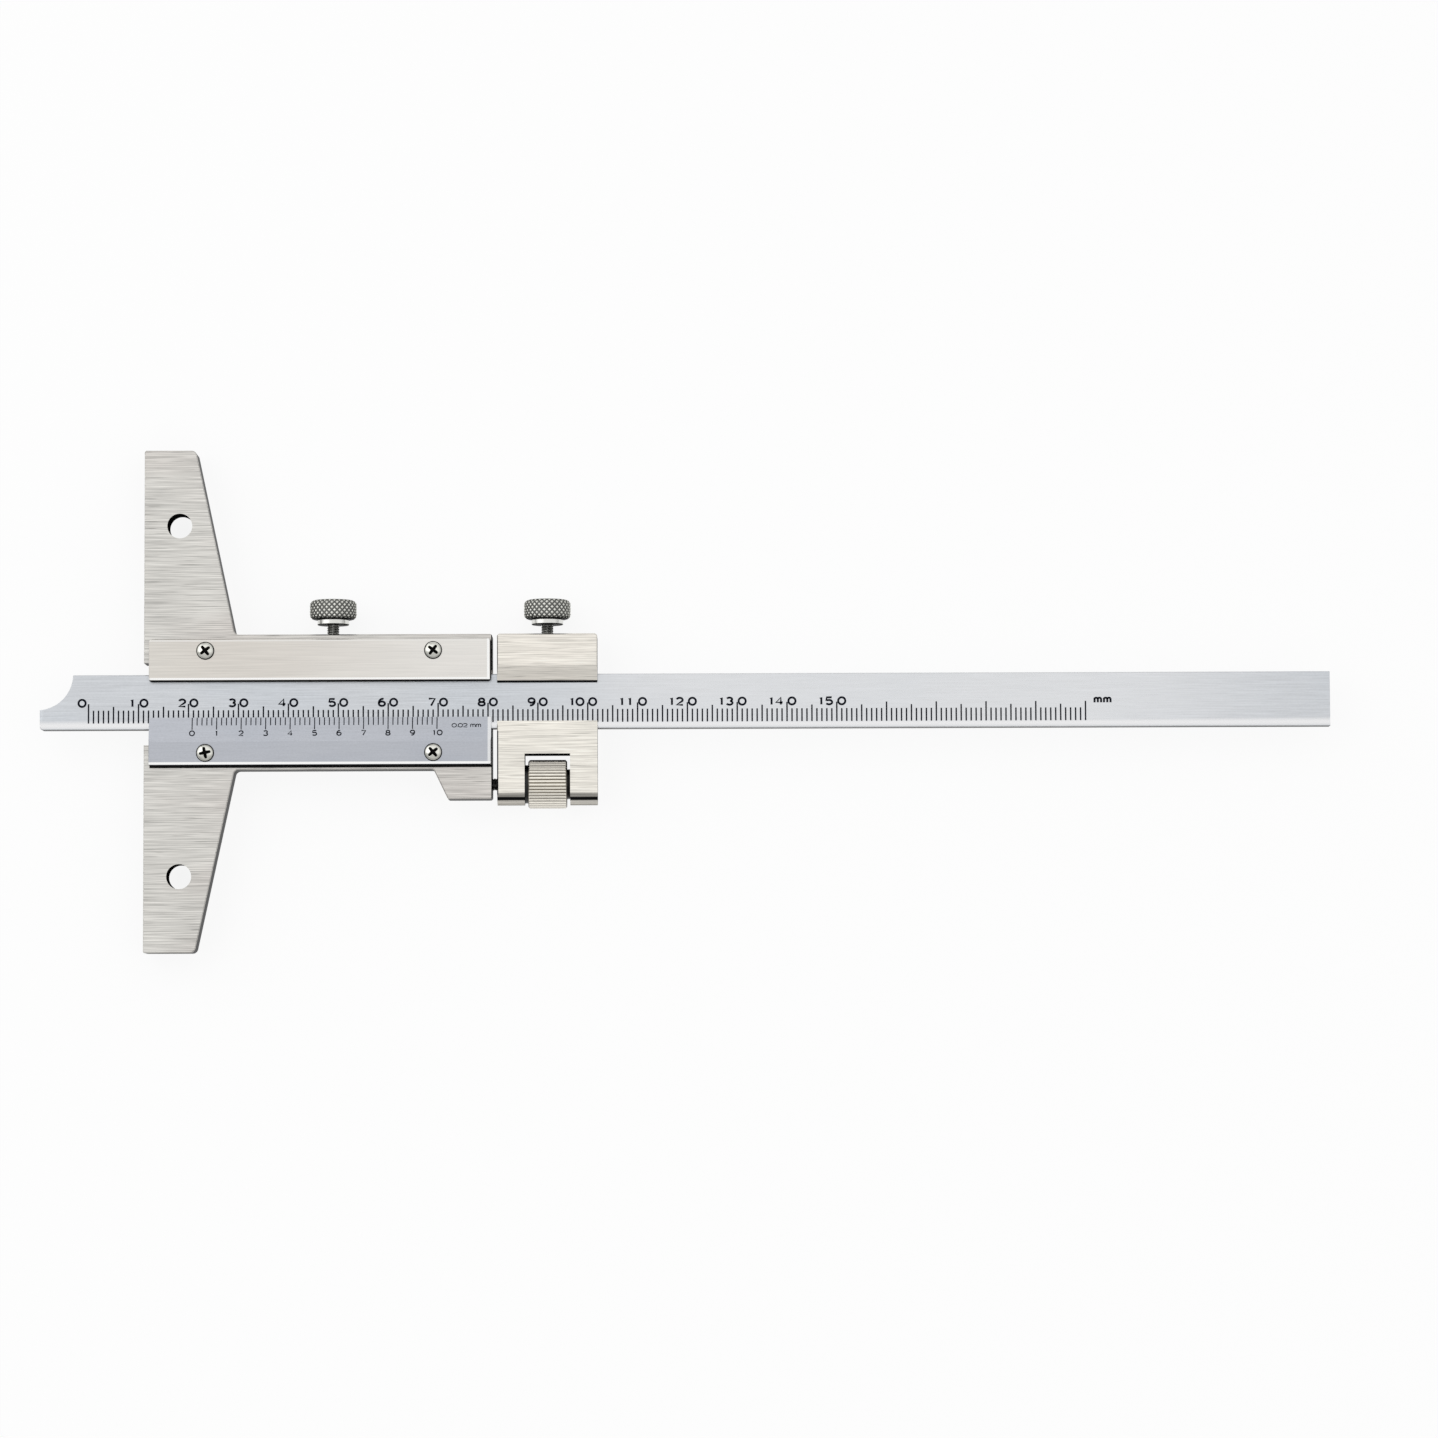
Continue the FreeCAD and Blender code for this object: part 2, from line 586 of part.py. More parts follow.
def nut_flute(angle):
    """Solid that cuts one V-shaped groove along the nut's rim, at an angle round its axis."""
    spread = math.tan(math.radians(NUT_FLUTE_ANGLE / 2))
    root = NUT_DIAMETER / 2 - NUT_FLUTE_DEPTH
    mouth = NUT_DIAMETER / 2 + NUT_FLUTE_DEPTH
    half_width = (mouth - root) * spread
    corners = [Vector(0, root, 0), Vector(0, mouth, half_width), Vector(0, mouth, -half_width)]
    groove = Part.Face(Part.makePolygon(corners + corners[:1])).extrude(Vector(NUT_LENGTH, 0, 0))
    groove.rotate(Vector(0, 0, 0), Vector(1, 0, 0), angle)
    groove.translate(Vector(NUT_NEAR, FINE_AXIS_Y, FINE_AXIS_HEIGHT))
    return groove


def make_fine_adjust_nut():
    """Fluted finger nut that runs on the fine screw, with a hub at its far end."""
    bore = FINE_SCREW_DIAMETER / 2 + RUNNING_GAP
    rim = NUT_DIAMETER / 2
    hub = NUT_HUB_DIAMETER / 2
    profile = [
        (bore, 0),
        (rim - NUT_CHAMFER, 0),
        (rim, NUT_CHAMFER),
        (rim, NUT_LENGTH - NUT_CHAMFER),
        (rim - NUT_CHAMFER, NUT_LENGTH),
        (hub, NUT_LENGTH),
        (hub, NUT_LENGTH + NUT_HUB_LENGTH),
        (bore, NUT_LENGTH + NUT_HUB_LENGTH),
    ]
    nut = turned(profile, Vector(NUT_NEAR, FINE_AXIS_Y, FINE_AXIS_HEIGHT), Vector(1, 0, 0))
    return nut.cut([nut_flute(360 * i / NUT_FLUTES) for i in range(NUT_FLUTES)])


def main():
    """Build and write every piece."""
    os.makedirs("parts", exist_ok=True)
    export("blade", make_blade())
    export("base_body", make_base_body())
    export("cover_plate", make_cover_plate())
    export("vernier_plate", make_vernier_plate())
    for name in CROSS_ANGLES:
        export(f"plate_screw_{name}", make_plate_screw(name))
    export("slider_gib", make_gib(0, BODY_LENGTH, SLIDER_CLAMP_SETBACK))
    export("slider_clamp_screw", make_clamp_screw(SLIDER_CLAMP_SETBACK, BODY_HIGH))
    for name, across in zip(("near", "far"), set_screw_places()):
        export(f"gib_set_screw_{name}", make_set_screw(across))
    export("carriage_body", make_carriage_body())
    export("carriage_gib", make_gib(CARRIAGE_NEAR, CARRIAGE_FAR, CARRIAGE_MIDDLE))
    export("carriage_clamp_screw", make_clamp_screw(CARRIAGE_MIDDLE, CARRIAGE_HIGH))
    export("fine_adjust_screw", make_fine_adjust_screw())
    export("lock_pin", lock_pin_shape(0))
    export("nut_washer", make_nut_washer())
    export("fine_adjust_nut", make_fine_adjust_nut())


main()
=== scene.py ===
"""Looks of a vernier depth gauge: ground and chromed steel, engraved scales, knurled clamp screws."""

import json
import logging
import math
from dataclasses import dataclass, field, replace
from enum import Enum
from typing import Any, Callable, Iterable

import bpy
import bmesh
import numpy as np
from mathutils import Matrix, Vector


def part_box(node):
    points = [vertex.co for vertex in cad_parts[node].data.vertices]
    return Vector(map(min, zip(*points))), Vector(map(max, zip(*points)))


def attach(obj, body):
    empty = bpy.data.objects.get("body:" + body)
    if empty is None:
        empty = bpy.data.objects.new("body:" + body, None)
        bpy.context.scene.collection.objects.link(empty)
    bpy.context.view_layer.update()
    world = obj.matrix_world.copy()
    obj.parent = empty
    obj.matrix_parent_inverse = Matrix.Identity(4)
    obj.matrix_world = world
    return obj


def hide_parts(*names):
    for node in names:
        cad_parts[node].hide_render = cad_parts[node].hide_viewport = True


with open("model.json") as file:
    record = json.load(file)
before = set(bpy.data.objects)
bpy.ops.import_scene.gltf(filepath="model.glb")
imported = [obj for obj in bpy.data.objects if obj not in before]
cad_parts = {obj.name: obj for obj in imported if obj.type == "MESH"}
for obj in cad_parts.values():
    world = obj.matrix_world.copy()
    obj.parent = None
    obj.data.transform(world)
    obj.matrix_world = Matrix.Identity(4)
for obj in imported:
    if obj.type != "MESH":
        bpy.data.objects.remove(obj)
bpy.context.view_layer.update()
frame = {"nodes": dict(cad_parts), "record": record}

log = logging.getLogger("depth_gauge")
MM = 0.001                      # every size below is in millimetres, times this where it reaches Blender

Colour = tuple[float, float, float]
Points = np.ndarray             # one row of three coordinates per point, in millimetres


class Axis(Enum):
    """A direction of the shared frame."""

    X = 0
    Y = 1
    Z = 2


def shade(red: float, green: float, blue: float) -> Colour:
    """Turns a colour as a screen shows it, 0 to 255, into the linear values that the shaders take.

    Args:
        red, green, blue: the three screen values.

    Returns:
        The same colour as linear values from 0 to 1.
    """
    def linear(value: float) -> float:
        """One screen value as light."""
        share = value / 255
        return share / 12.92 if share <= 0.04045 else ((share + 0.055) / 1.055) ** 2.4
    return linear(red), linear(green), linear(blue)


def node_box(node: str) -> tuple[np.ndarray, np.ndarray]:
    """The lowest and highest corner of a CAD node, in millimetres."""
    low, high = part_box(node)
    return np.array(low) / MM, np.array(high) / MM


# ---------------------------------------------------------------- shader maths

class Value:
    """A number that changes over a surface, written with Python's operators."""

    def __init__(self, tree: "Tree", socket: bpy.types.NodeSocket) -> None:
        """Wraps one output socket of a node tree."""
        self.tree = tree
        self.socket = socket

    def _math(self, operation: str, *terms: Any) -> "Value":
        """Adds one Math node with this operation on the given terms."""
        made = self.tree.node("ShaderNodeMath", {"operation": operation}, dict(enumerate(terms)))
        return Value(self.tree, made.outputs[0])

    def __add__(self, other: Any) -> "Value":
        """The sum."""
        return self._math("ADD", self, other)

    def __sub__(self, other: Any) -> "Value":
        """The difference."""
        return self._math("SUBTRACT", self, other)

    def __rsub__(self, other: Any) -> "Value":
        """A number less this value."""
        return self._math("SUBTRACT", other, self)

    def __mul__(self, other: Any) -> "Value":
        """The product."""
        return self._math("MULTIPLY", self, other)

    __radd__ = __add__
    __rmul__ = __mul__

    def least(self, other: Any) -> "Value":
        """The smaller of the two."""
        return self._math("MINIMUM", self, other)

    def most(self, other: Any) -> "Value":
        """The larger of the two."""
        return self._math("MAXIMUM", self, other)

    def root(self) -> "Value":
        """The square root."""
        return self._math("SQRT", self)

    def between(self, low: float, high: float) -> "Value":
        """A smooth step: 0 below low, 1 above high; turned round when low is the larger."""
        made = self.tree.node("ShaderNodeMapRange", {"interpolation_type": "SMOOTHSTEP"},
                              {"Value": self, "From Min": low, "From Max": high})
        return Value(self.tree, made.outputs["Result"])


class Tree:
    """A node tree that is filled by plain calls."""

    def __init__(self, owner: bpy.types.Material | bpy.types.World) -> None:
        """Empties the node tree of a material or a world."""
        owner.use_nodes = True
        self.nodes = owner.node_tree.nodes
        self.links = owner.node_tree.links
        self.nodes.clear()

    def put(self, socket: bpy.types.NodeSocket, value: Any) -> None:
        """Sets a socket to a number or colour, or links it to a value or another socket."""
        if isinstance(value, Value):
            self.links.new(value.socket, socket)
        elif isinstance(value, bpy.types.NodeSocket):
            self.links.new(value, socket)
        elif isinstance(value, tuple) and len(value) == 3 and socket.type == "RGBA":
            socket.default_value = (*value, 1.0)
        else:
            socket.default_value = value

    def node(self, kind: str, settings: dict[str, Any] | None = None,
             inputs: dict[Any, Any] | None = None) -> bpy.types.Node:
        """Adds any node.

        Args:
            kind: the node's type, such as ShaderNodeTexNoise.
            settings: its settings, set first; "stops" holds a ramp's (place, colour) pairs.
            inputs: values or links of its sockets, by name or number.

        Returns:
            The node.
        """
        made = self.nodes.new(kind)
        for name, value in (settings or {}).items():
            if name == "stops":
                ramp = made.color_ramp.elements
                for place, colour in value[1:-1]:
                    ramp.new(place).color = (*colour, 1.0)
                for end, (place, colour) in ((0, value[0]), (len(ramp) - 1, value[-1])):
                    ramp[end].position = place
                    ramp[end].color = (*colour, 1.0)
            else:
                setattr(made, name, value)
        for name, value in (inputs or {}).items():
            self.put(made.inputs[name], value)
        return made


class Shader(Tree):
    """One material's node tree, with its Principled shader ready."""

    def __init__(self, name: str) -> None:
        """Makes an empty material of that name."""
        self.material = bpy.data.materials.new(name)
        super().__init__(self.material)
        self.surface = self.node("ShaderNodeBsdfPrincipled")
        self.output = self.node("ShaderNodeOutputMaterial", None, {"Surface": self.surface.outputs[0]})

    def place(self) -> bpy.types.NodeSocket:
        """The point in the shared frame, in metres."""
        return self.node("ShaderNodeTexCoord").outputs["Object"]

    def coordinate(self, axis: Axis) -> Value:
        """One coordinate of the point, in millimetres."""
        made = self.node("ShaderNodeSeparateXYZ", None, {0: self.place()})
        return Value(self, made.outputs[axis.value]) * (1 / MM)

    def noise(self, size: tuple[float, float, float], detail: float = 3.0,
              seed: float = 0.0, sharp: float = 0.5) -> Value:
        """Smooth noise, 0 to 1, whose marks have this size along X, Y and Z.

        Args:
            size: length of the marks along each axis, in millimetres.
            detail: how many finer layers lie on it.
            seed: another number gives another pattern.
            sharp: how strong the finer layers are.

        Returns:
            The noise, 0.5 on average.
        """
        scale = tuple(1 / (MM * length) for length in size)
        moved = self.node("ShaderNodeMapping", {"vector_type": "POINT"},
                          {"Vector": self.place(), "Location": (seed, seed * 1.7, seed * 0.6),
                           "Scale": scale})
        made = self.node("ShaderNodeTexNoise", {"noise_dimensions": "3D"},
                         {"Vector": moved.outputs[0], "Scale": 1.0, "Detail": detail,
                          "Roughness": sharp})
        return Value(self, made.outputs["Fac"])

    def attribute(self, name: str) -> Value:
        """A number kept on the mesh's points or faces."""
        made = self.node("ShaderNodeAttribute", {"attribute_name": name})
        return Value(self, made.outputs["Fac"])

    def blend(self, share: Any, first: Any, second: Any) -> bpy.types.NodeSocket:
        """Mixes two colours: the first at 0, the second at 1."""
        made = self.node("ShaderNodeMix", {"data_type": "RGBA", "clamp_factor": True},
                         {0: share, 6: first, 7: second})
        return made.outputs[2]

    def scaled(self, colour: Any, amount: Value) -> bpy.types.NodeSocket:
        """A colour made lighter or darker by an amount near 1."""
        made = self.node("ShaderNodeVectorMath", {"operation": "SCALE"})
        self.put(made.inputs[0], colour)
        self.put(made.inputs["Scale"], amount)
        return made.outputs[0]

    def relief(self, height: Value, depth: float, strength: float) -> bpy.types.NodeSocket:
        """A surface direction tilted by a height from 0 to 1, of that depth in millimetres."""
        made = self.node("ShaderNodeBump", None,
                         {"Height": height, "Distance": depth * MM, "Strength": strength})
        return made.outputs[0]

    def wear(self, **sockets: Any) -> bpy.types.Material:
        """Sets the Principled shader's sockets, such as Roughness, and gives the material."""
        for name, value in sockets.items():
            self.put(self.surface.inputs[name.replace("_", " ")], value)
        return self.material


# ---------------------------------------------------------------- finishes

@dataclass(frozen=True)
class Slab:
    """A layer of space across one axis, from low to high, with soft limits."""

    axis: Axis
    low: float
    high: float
    soft: float = 0.05
    share: float = 1.0                  # of the mask's full strength
    within: "Slab | None" = None        # another layer that limits this one

    def mask(self, tree: Shader) -> Value:
        """The layer's share inside it and 0 outside it."""
        at = tree.coordinate(self.axis)
        rises = at.between(self.low - self.soft, self.low + self.soft)
        falls = at.between(self.high + self.soft, self.high - self.soft)
        inside = rises * falls * self.share
        return inside if self.within is None else inside * self.within.mask(tree)


def any_of(tree: Shader, slabs: Iterable[Slab]) -> Value | None:
    """The largest of the masks of several layers, or None without a layer."""
    found = None
    for slab in slabs:
        mask = slab.mask(tree)
        found = mask if found is None else found.most(mask)
    return found


@dataclass(frozen=True)
class Steel:
    """Ground, satin or chromed steel: fine marks along X, slow drifts of tone, side walls painted darker,
    painted highlights and painted shadows.
    """

    name: str
    face: Colour                        # ground faces
    warm: Colour                        # tint of the slow drift
    wall: Colour = shade(112, 112, 111)     # side walls and cut ends, painted darker: partly a rougher finish, partly painted shade
    oily: Colour = shade(20, 20, 21)    # painted shade: near black on the walls of holes and windows and on the painted shadow strips
    roughness: float = 0.34
    line: float = 0.10                  # share of brightness in the grinding lines
    scratch: float = 0.10               # share of brightness in the single deeper lines
    drift: float = 0.05                 # share of brightness in the slow drift
    speck: float = 0.04                 # share of brightness in the fine grain
    line_length: float = 7.0
    line_width: float = 0.13
    relief: float = 0.004               # height of the grinding marks
    polished: tuple[Slab, ...] = ()     # painted highlights: bright strips along edges, and brighter stretches where light falls
    grimy: tuple[Slab, ...] = ()        # painted shadows: near-black strips where the plates and lips cast shade
    # the colour of the painted highlights
    edge: Colour = (0.96, 0.96, 0.95)
    broken: float = 0.42                # brightness of the broken edges over that of the faces: painted shade that draws a dark outline round each piece
    glance: float = 0.3                 # brightness of the reflection at a glancing angle

    def broken_edges(self) -> "Steel":
        """The same steel on its broken edges, painted darker than the faces as shade."""
        dim = [tuple(part * self.broken for part in colour) for colour in (self.face, self.warm)]
        return replace(self, name=self.name + "_edges", face=dim[0], warm=dim[1])

    def material(self) -> bpy.types.Material:
        """Builds the node material."""
        tree = Shader(self.name)
        fine = tree.noise((self.line_length, self.line_width, self.line_width), 2.0, 1.3, 0.5)
        coarse = tree.noise((self.line_length * 2.2, self.line_width * 3.4, self.line_width * 3.4),
                            3.0, 7.9, 0.55)
        deep = tree.noise((self.line_length * 0.8, self.line_width * 1.6, self.line_width * 1.6),
                          2.0, 4.4, 0.4).between(0.62, 0.72)
        slow = tree.noise((38.0, 17.0, 9.0), 2.0, 2.6, 0.5)
        grain = tree.noise((0.45, 0.3, 0.3), 3.0, 5.1, 0.7)
        tone = (1 + (fine - 0.5) * self.line + (coarse - 0.5) * self.line * 0.15
                + (slow - 0.5) * self.drift + (grain - 0.5) * self.speck - deep * self.scratch)
        face = tree.blend(slow.between(0.42, 0.62), self.face, self.warm)
        colour = tree.scaled(face, tone)
        rough = self.roughness + (fine - 0.5) * 0.10 + (grain - 0.5) * 0.08
        # Painted highlights: bright strips and stretches, with a smoother finish, painted where light falls.
        polished = any_of(tree, self.polished)
        if polished is not None:
            colour = tree.blend(polished, colour, self.edge)
            rough = rough - polished * 0.12
        # The walls of holes and windows are painted near black as shade, and so are the painted shadow
        # strips; there the surface is not metal.
        walls, oily = tree.attribute("wall"), tree.attribute("bore")
        # Side walls are painted darker, partly for their rougher finish and partly as painted shade.
        colour = tree.blend(walls, colour, tree.scaled(self.wall, 0.8 + fine * 0.4))
        # Painted shadows: strips along edges painted near black as shade.
        grimy = any_of(tree, self.grimy)
        if grimy is not None:
            oily = oily.most(grimy)
        colour = tree.blend(oily, colour, self.oily)
        height = fine * 0.7 + coarse * 0.3
        tree.surface.inputs["Specular IOR Level"].default_value = 0.0
        tree.put(tree.surface.inputs["Specular Tint"], (self.glance, self.glance, self.glance))
        return tree.wear(Base_Color=colour, Metallic=1 - oily, Roughness=rough.most(0.08).least(0.9),
                         Normal=tree.relief(height, self.relief, 0.6))


@dataclass(frozen=True)
class Knurl:
    """Diamond-cut steel: bright worn crests over grooves painted dark as shade, read from the crest
    attribute.
    """

    name: str
    crest: Colour
    groove: Colour
    roughness: float = 0.3
    glance: float = 0.08                # brightness of the reflection at a glancing angle

    def material(self) -> bpy.types.Material:
        """Builds the node material."""
        tree = Shader(self.name)
        crest = tree.attribute("crest")
        worn = tree.noise((0.7, 0.7, 0.7), 3.0, 3.3, 0.6)
        share = (crest.between(0.12, 0.78) * (0.45 + worn)).least(1.0)
        # The grooves are painted dark as shade; the crests are lighter.
        colour = tree.blend(share, self.groove, self.crest)
        grain = tree.noise((0.12, 0.12, 0.12), 3.0, 8.8, 0.65)
        tree.put(tree.surface.inputs["Specular Tint"], (self.glance, self.glance, self.glance))
        return tree.wear(Base_Color=tree.scaled(colour, 0.8 + grain * 0.4), Metallic=1.0,
                         Roughness=self.roughness + (1 - crest) * 0.22 + (worn - 0.5) * 0.1,
                         Normal=tree.relief(grain, 0.01, 0.4))


@dataclass(frozen=True)
class Turned:
    """Lathe-turned metal: fine rings round the axis and faint stains."""

    name: str
    colour: Colour
    axis: Axis
    roughness: float = 0.2
    ring: float = 0.12
    stain: float = 0.2

    def material(self) -> bpy.types.Material:
        """Builds the node material."""
        tree = Shader(self.name)
        size = [6.0, 6.0, 6.0]
        size[self.axis.value] = 0.07
        rings = tree.noise(tuple(size), 3.0, 2.2, 0.6)
        stain = tree.noise((1.3, 1.3, 1.3), 4.0, 6.1, 0.6)
        tone = 1 + (rings - 0.5) * self.ring - stain.between(0.5, 0.75) * self.stain
        return tree.wear(Base_Color=tree.scaled(self.colour, tone), Metallic=1.0,
                         Roughness=self.roughness + (rings - 0.5) * 0.12 + stain * 0.08,
                         Normal=tree.relief(rings, 0.006, 0.5))


@dataclass(frozen=True)
class Fluted:
    """Straight-fluted steel: bright crests over grooves painted dark as shade, told apart by their distance
    from the axis; the hub is painted near black as shade.
    """

    name: str
    crest: Colour
    groove: Colour
    centre: tuple[float, float]         # the axis, across X
    radius: float
    hub_start: float                    # place along X where the flutes end and the hub begins
    # the hub's colour: painted near black as shade
    hub: Colour = shade(34, 33, 32)
    depth: float = 0.22
    roughness: float = 0.3

    def material(self) -> bpy.types.Material:
        """Builds the node material."""
        tree = Shader(self.name)
        aside = tree.coordinate(Axis.Y) - self.centre[0]
        above = tree.coordinate(Axis.Z) - self.centre[1]
        reach = (aside * aside + above * above).root()
        crest = reach.between(self.radius - self.depth, self.radius - self.depth * 0.2)
        inner = reach.between(self.radius - self.depth * 1.6, self.radius - self.depth * 1.9)
        worn = tree.noise((1.6, 0.4, 0.4), 4.0, 4.2, 0.6)
        # The grooves are painted dark as shade, and the hub near black.
        colour = tree.blend(crest.most(inner), self.groove, self.crest)
        on_hub = tree.coordinate(Axis.X).between(self.hub_start - 0.02, self.hub_start + 0.02)
        colour = tree.blend(on_hub, colour, self.hub)
        return tree.wear(Base_Color=tree.scaled(colour, 0.8 + worn * 0.4), Metallic=1.0,
                         Roughness=self.roughness + (worn - 0.5) * 0.3,
                         Normal=tree.relief(worn, 0.012, 0.5))


@dataclass(frozen=True)
class Ink:
    """The dark filling of engraved lines and digits."""

    name: str
    colour: Colour

    def material(self) -> bpy.types.Material:
        """Builds the node material."""
        tree = Shader(self.name)
        worn = tree.noise((0.5, 0.5, 0.5), 3.0, 1.9, 0.6)
        colour = tree.scaled(self.colour, 0.7 + worn * 0.7)
        tree.surface.inputs["Specular IOR Level"].default_value = 0.0
        return tree.wear(Base_Color=colour, Metallic=0.0, Roughness=0.55 + worn * 0.2,
                         Normal=tree.relief(worn, 0.004, 0.4))


# ---------------------------------------------------------------- surfaces

def grid_faces(rows: int, columns: int) -> list[tuple[int, ...]]:
    """Four-sided faces between neighbouring rows of points, each row a closed ring.

    Args:
        rows: how many rings.
        columns: points in a ring.

    Returns:
        The faces: ring r's points c and c + 1, then ring r + 1's the other way.
    """
    row, column = np.meshgrid(np.arange(rows - 1), np.arange(columns), indexing="ij")
    beside = (column + 1) % columns
    corners = (row * columns + column, row * columns + beside,
               (row + 1) * columns + beside, (row + 1) * columns + column)
    return [tuple(face) for face in np.stack(corners, -1).reshape(-1, 4).tolist()]


def mesh_piece(name: str, points: Points, faces: list[tuple[int, ...]],
               materials: list[bpy.types.Material], crease: float = 40.0) -> bpy.types.Object:
    """Makes a closed mesh object at the origin, smooth but for its sharper edges.

    Args:
        name: the piece's name.
        points: its points in millimetres.
        faces: point numbers of each face.
        materials: its materials, the first on every face.
        crease: edges that turn more than this many degrees stay sharp.

    Returns:
        The object.
    """
    mesh = bpy.data.meshes.new(name)
    mesh.from_pydata((points * MM).tolist(), [], faces)
    work = bmesh.new()
    work.from_mesh(mesh)
    bmesh.ops.remove_doubles(work, verts=work.verts, dist=1e-8)
    bmesh.ops.recalc_face_normals(work, faces=work.faces)
    work.to_mesh(mesh)
    work.free()
    mesh.shade_smooth()
    mesh.set_sharp_from_angle(angle=math.radians(crease))
    for material in materials:
        mesh.materials.append(material)
    made = bpy.data.objects.new(name, mesh)
    bpy.context.scene.collection.objects.link(made)
    return made


def keep_attribute(piece: bpy.types.Object, name: str, values: Callable[[Points], np.ndarray]) -> None:
    """Keeps a number on each point of a mesh, worked out from the points' places in millimetres."""
    mesh = piece.data
    flat = np.zeros(len(mesh.vertices) * 3, np.float32)
    mesh.vertices.foreach_get("co", flat)
    made = mesh.attributes.new(name, "FLOAT", "POINT")
    made.data.foreach_set("value", values(flat.reshape(-1, 3) / MM).astype(np.float32))


def paint_rows(piece: bpy.types.Object, axis: Axis, steps: list[tuple[float, int]]) -> None:
    """Gives faces their material by the place of their middle along an axis.

    Args:
        piece: the mesh object.
        axis: the direction that the steps follow.
        steps: (place in millimetres, material number), rising: the number holds beyond that place.
    """
    mesh = piece.data
    middles = np.zeros(len(mesh.polygons) * 3, np.float32)
    mesh.polygons.foreach_get("center", middles)
    along = middles.reshape(-1, 3)[:, axis.value] / MM
    index = np.zeros(len(along), np.int32)
    for place, number in steps:
        index[along > place] = number
    mesh.polygons.foreach_set("material_index", index)


def ring_points(along: np.ndarray, radii: np.ndarray, centre: tuple[float, float, float],
                axis: Axis) -> Points:
    """Rings of points round an axis: each lies at its own radius, at equal steps of angle.

    Args:
        along: place of each ring on the axis.
        radii: radius of each point, one row per ring.
        centre: any point of the axis; its part along the axis is added to along.
        axis: the direction of the axis.

    Returns:
        The points, ring by ring: centre + along * axis + radius * (cos a, sin a) across it.
    """
    turn = np.linspace(0, 2 * math.pi, radii.shape[1], endpoint=False)
    across = [(axis.value + 1) % 3, (axis.value + 2) % 3]
    points = np.zeros((*radii.shape, 3))
    points[..., axis.value] = along[:, None]
    points[..., across[0]] = radii * np.cos(turn)
    points[..., across[1]] = radii * np.sin(turn)
    return points.reshape(-1, 3) + np.array(centre)


def closed_rings(along: np.ndarray, radii: np.ndarray, centre: tuple[float, float, float],
                 axis: Axis) -> tuple[Points, list[tuple[int, ...]]]:
    """A solid of rings, closed by a fan of faces at each end. Arguments as in ring_points."""
    rows, columns = radii.shape
    points = ring_points(along, radii, centre, axis)
    ends = np.tile(np.array(centre, float), (2, 1))
    ends[:, axis.value] += (along[0], along[-1])
    faces = grid_faces(rows, columns)
    bottom, top = len(points), len(points) + 1
    last = (rows - 1) * columns
    for column in range(columns):
        beside = (column + 1) % columns
        faces.append((bottom, beside, column))
        faces.append((top, last + column, last + beside))
    return np.vstack([points, ends]), faces


def smooth(value: np.ndarray, low: float, high: float) -> np.ndarray:
    """A smooth step over an array: 3 t^2 - 2 t^3, where t runs from 0 at low to 1 at high."""
    share = np.clip((value - low) / (high - low), 0, 1)
    return share * share * (3 - 2 * share)


def thread_depth(along: np.ndarray, columns: int, pitch: float, depth: float) -> np.ndarray:
    """How far a thread is cut in at each point: a triangle wave along a helix of that pitch.

    Args:
        along: place of each ring on the axis.
        columns: points in a ring.
        pitch: distance from crest to crest.
        depth: depth of the groove.

    Returns:
        One row per ring: depth * |2 * frac(along / pitch - turn) - 1|.
    """
    turn = np.linspace(0, 1, columns, endpoint=False)
    phase = (along[:, None] / pitch - turn[None, :]) % 1.0
    return depth * np.abs(2 * phase - 1)


# ---------------------------------------------------------------- the pieces

@dataclass(frozen=True)
class EdgeShift:
    """Moves one long edge of a piece along Y: its points from low to high, over a height."""

    low: float
    high: float
    by: float
    over: float = 6.4


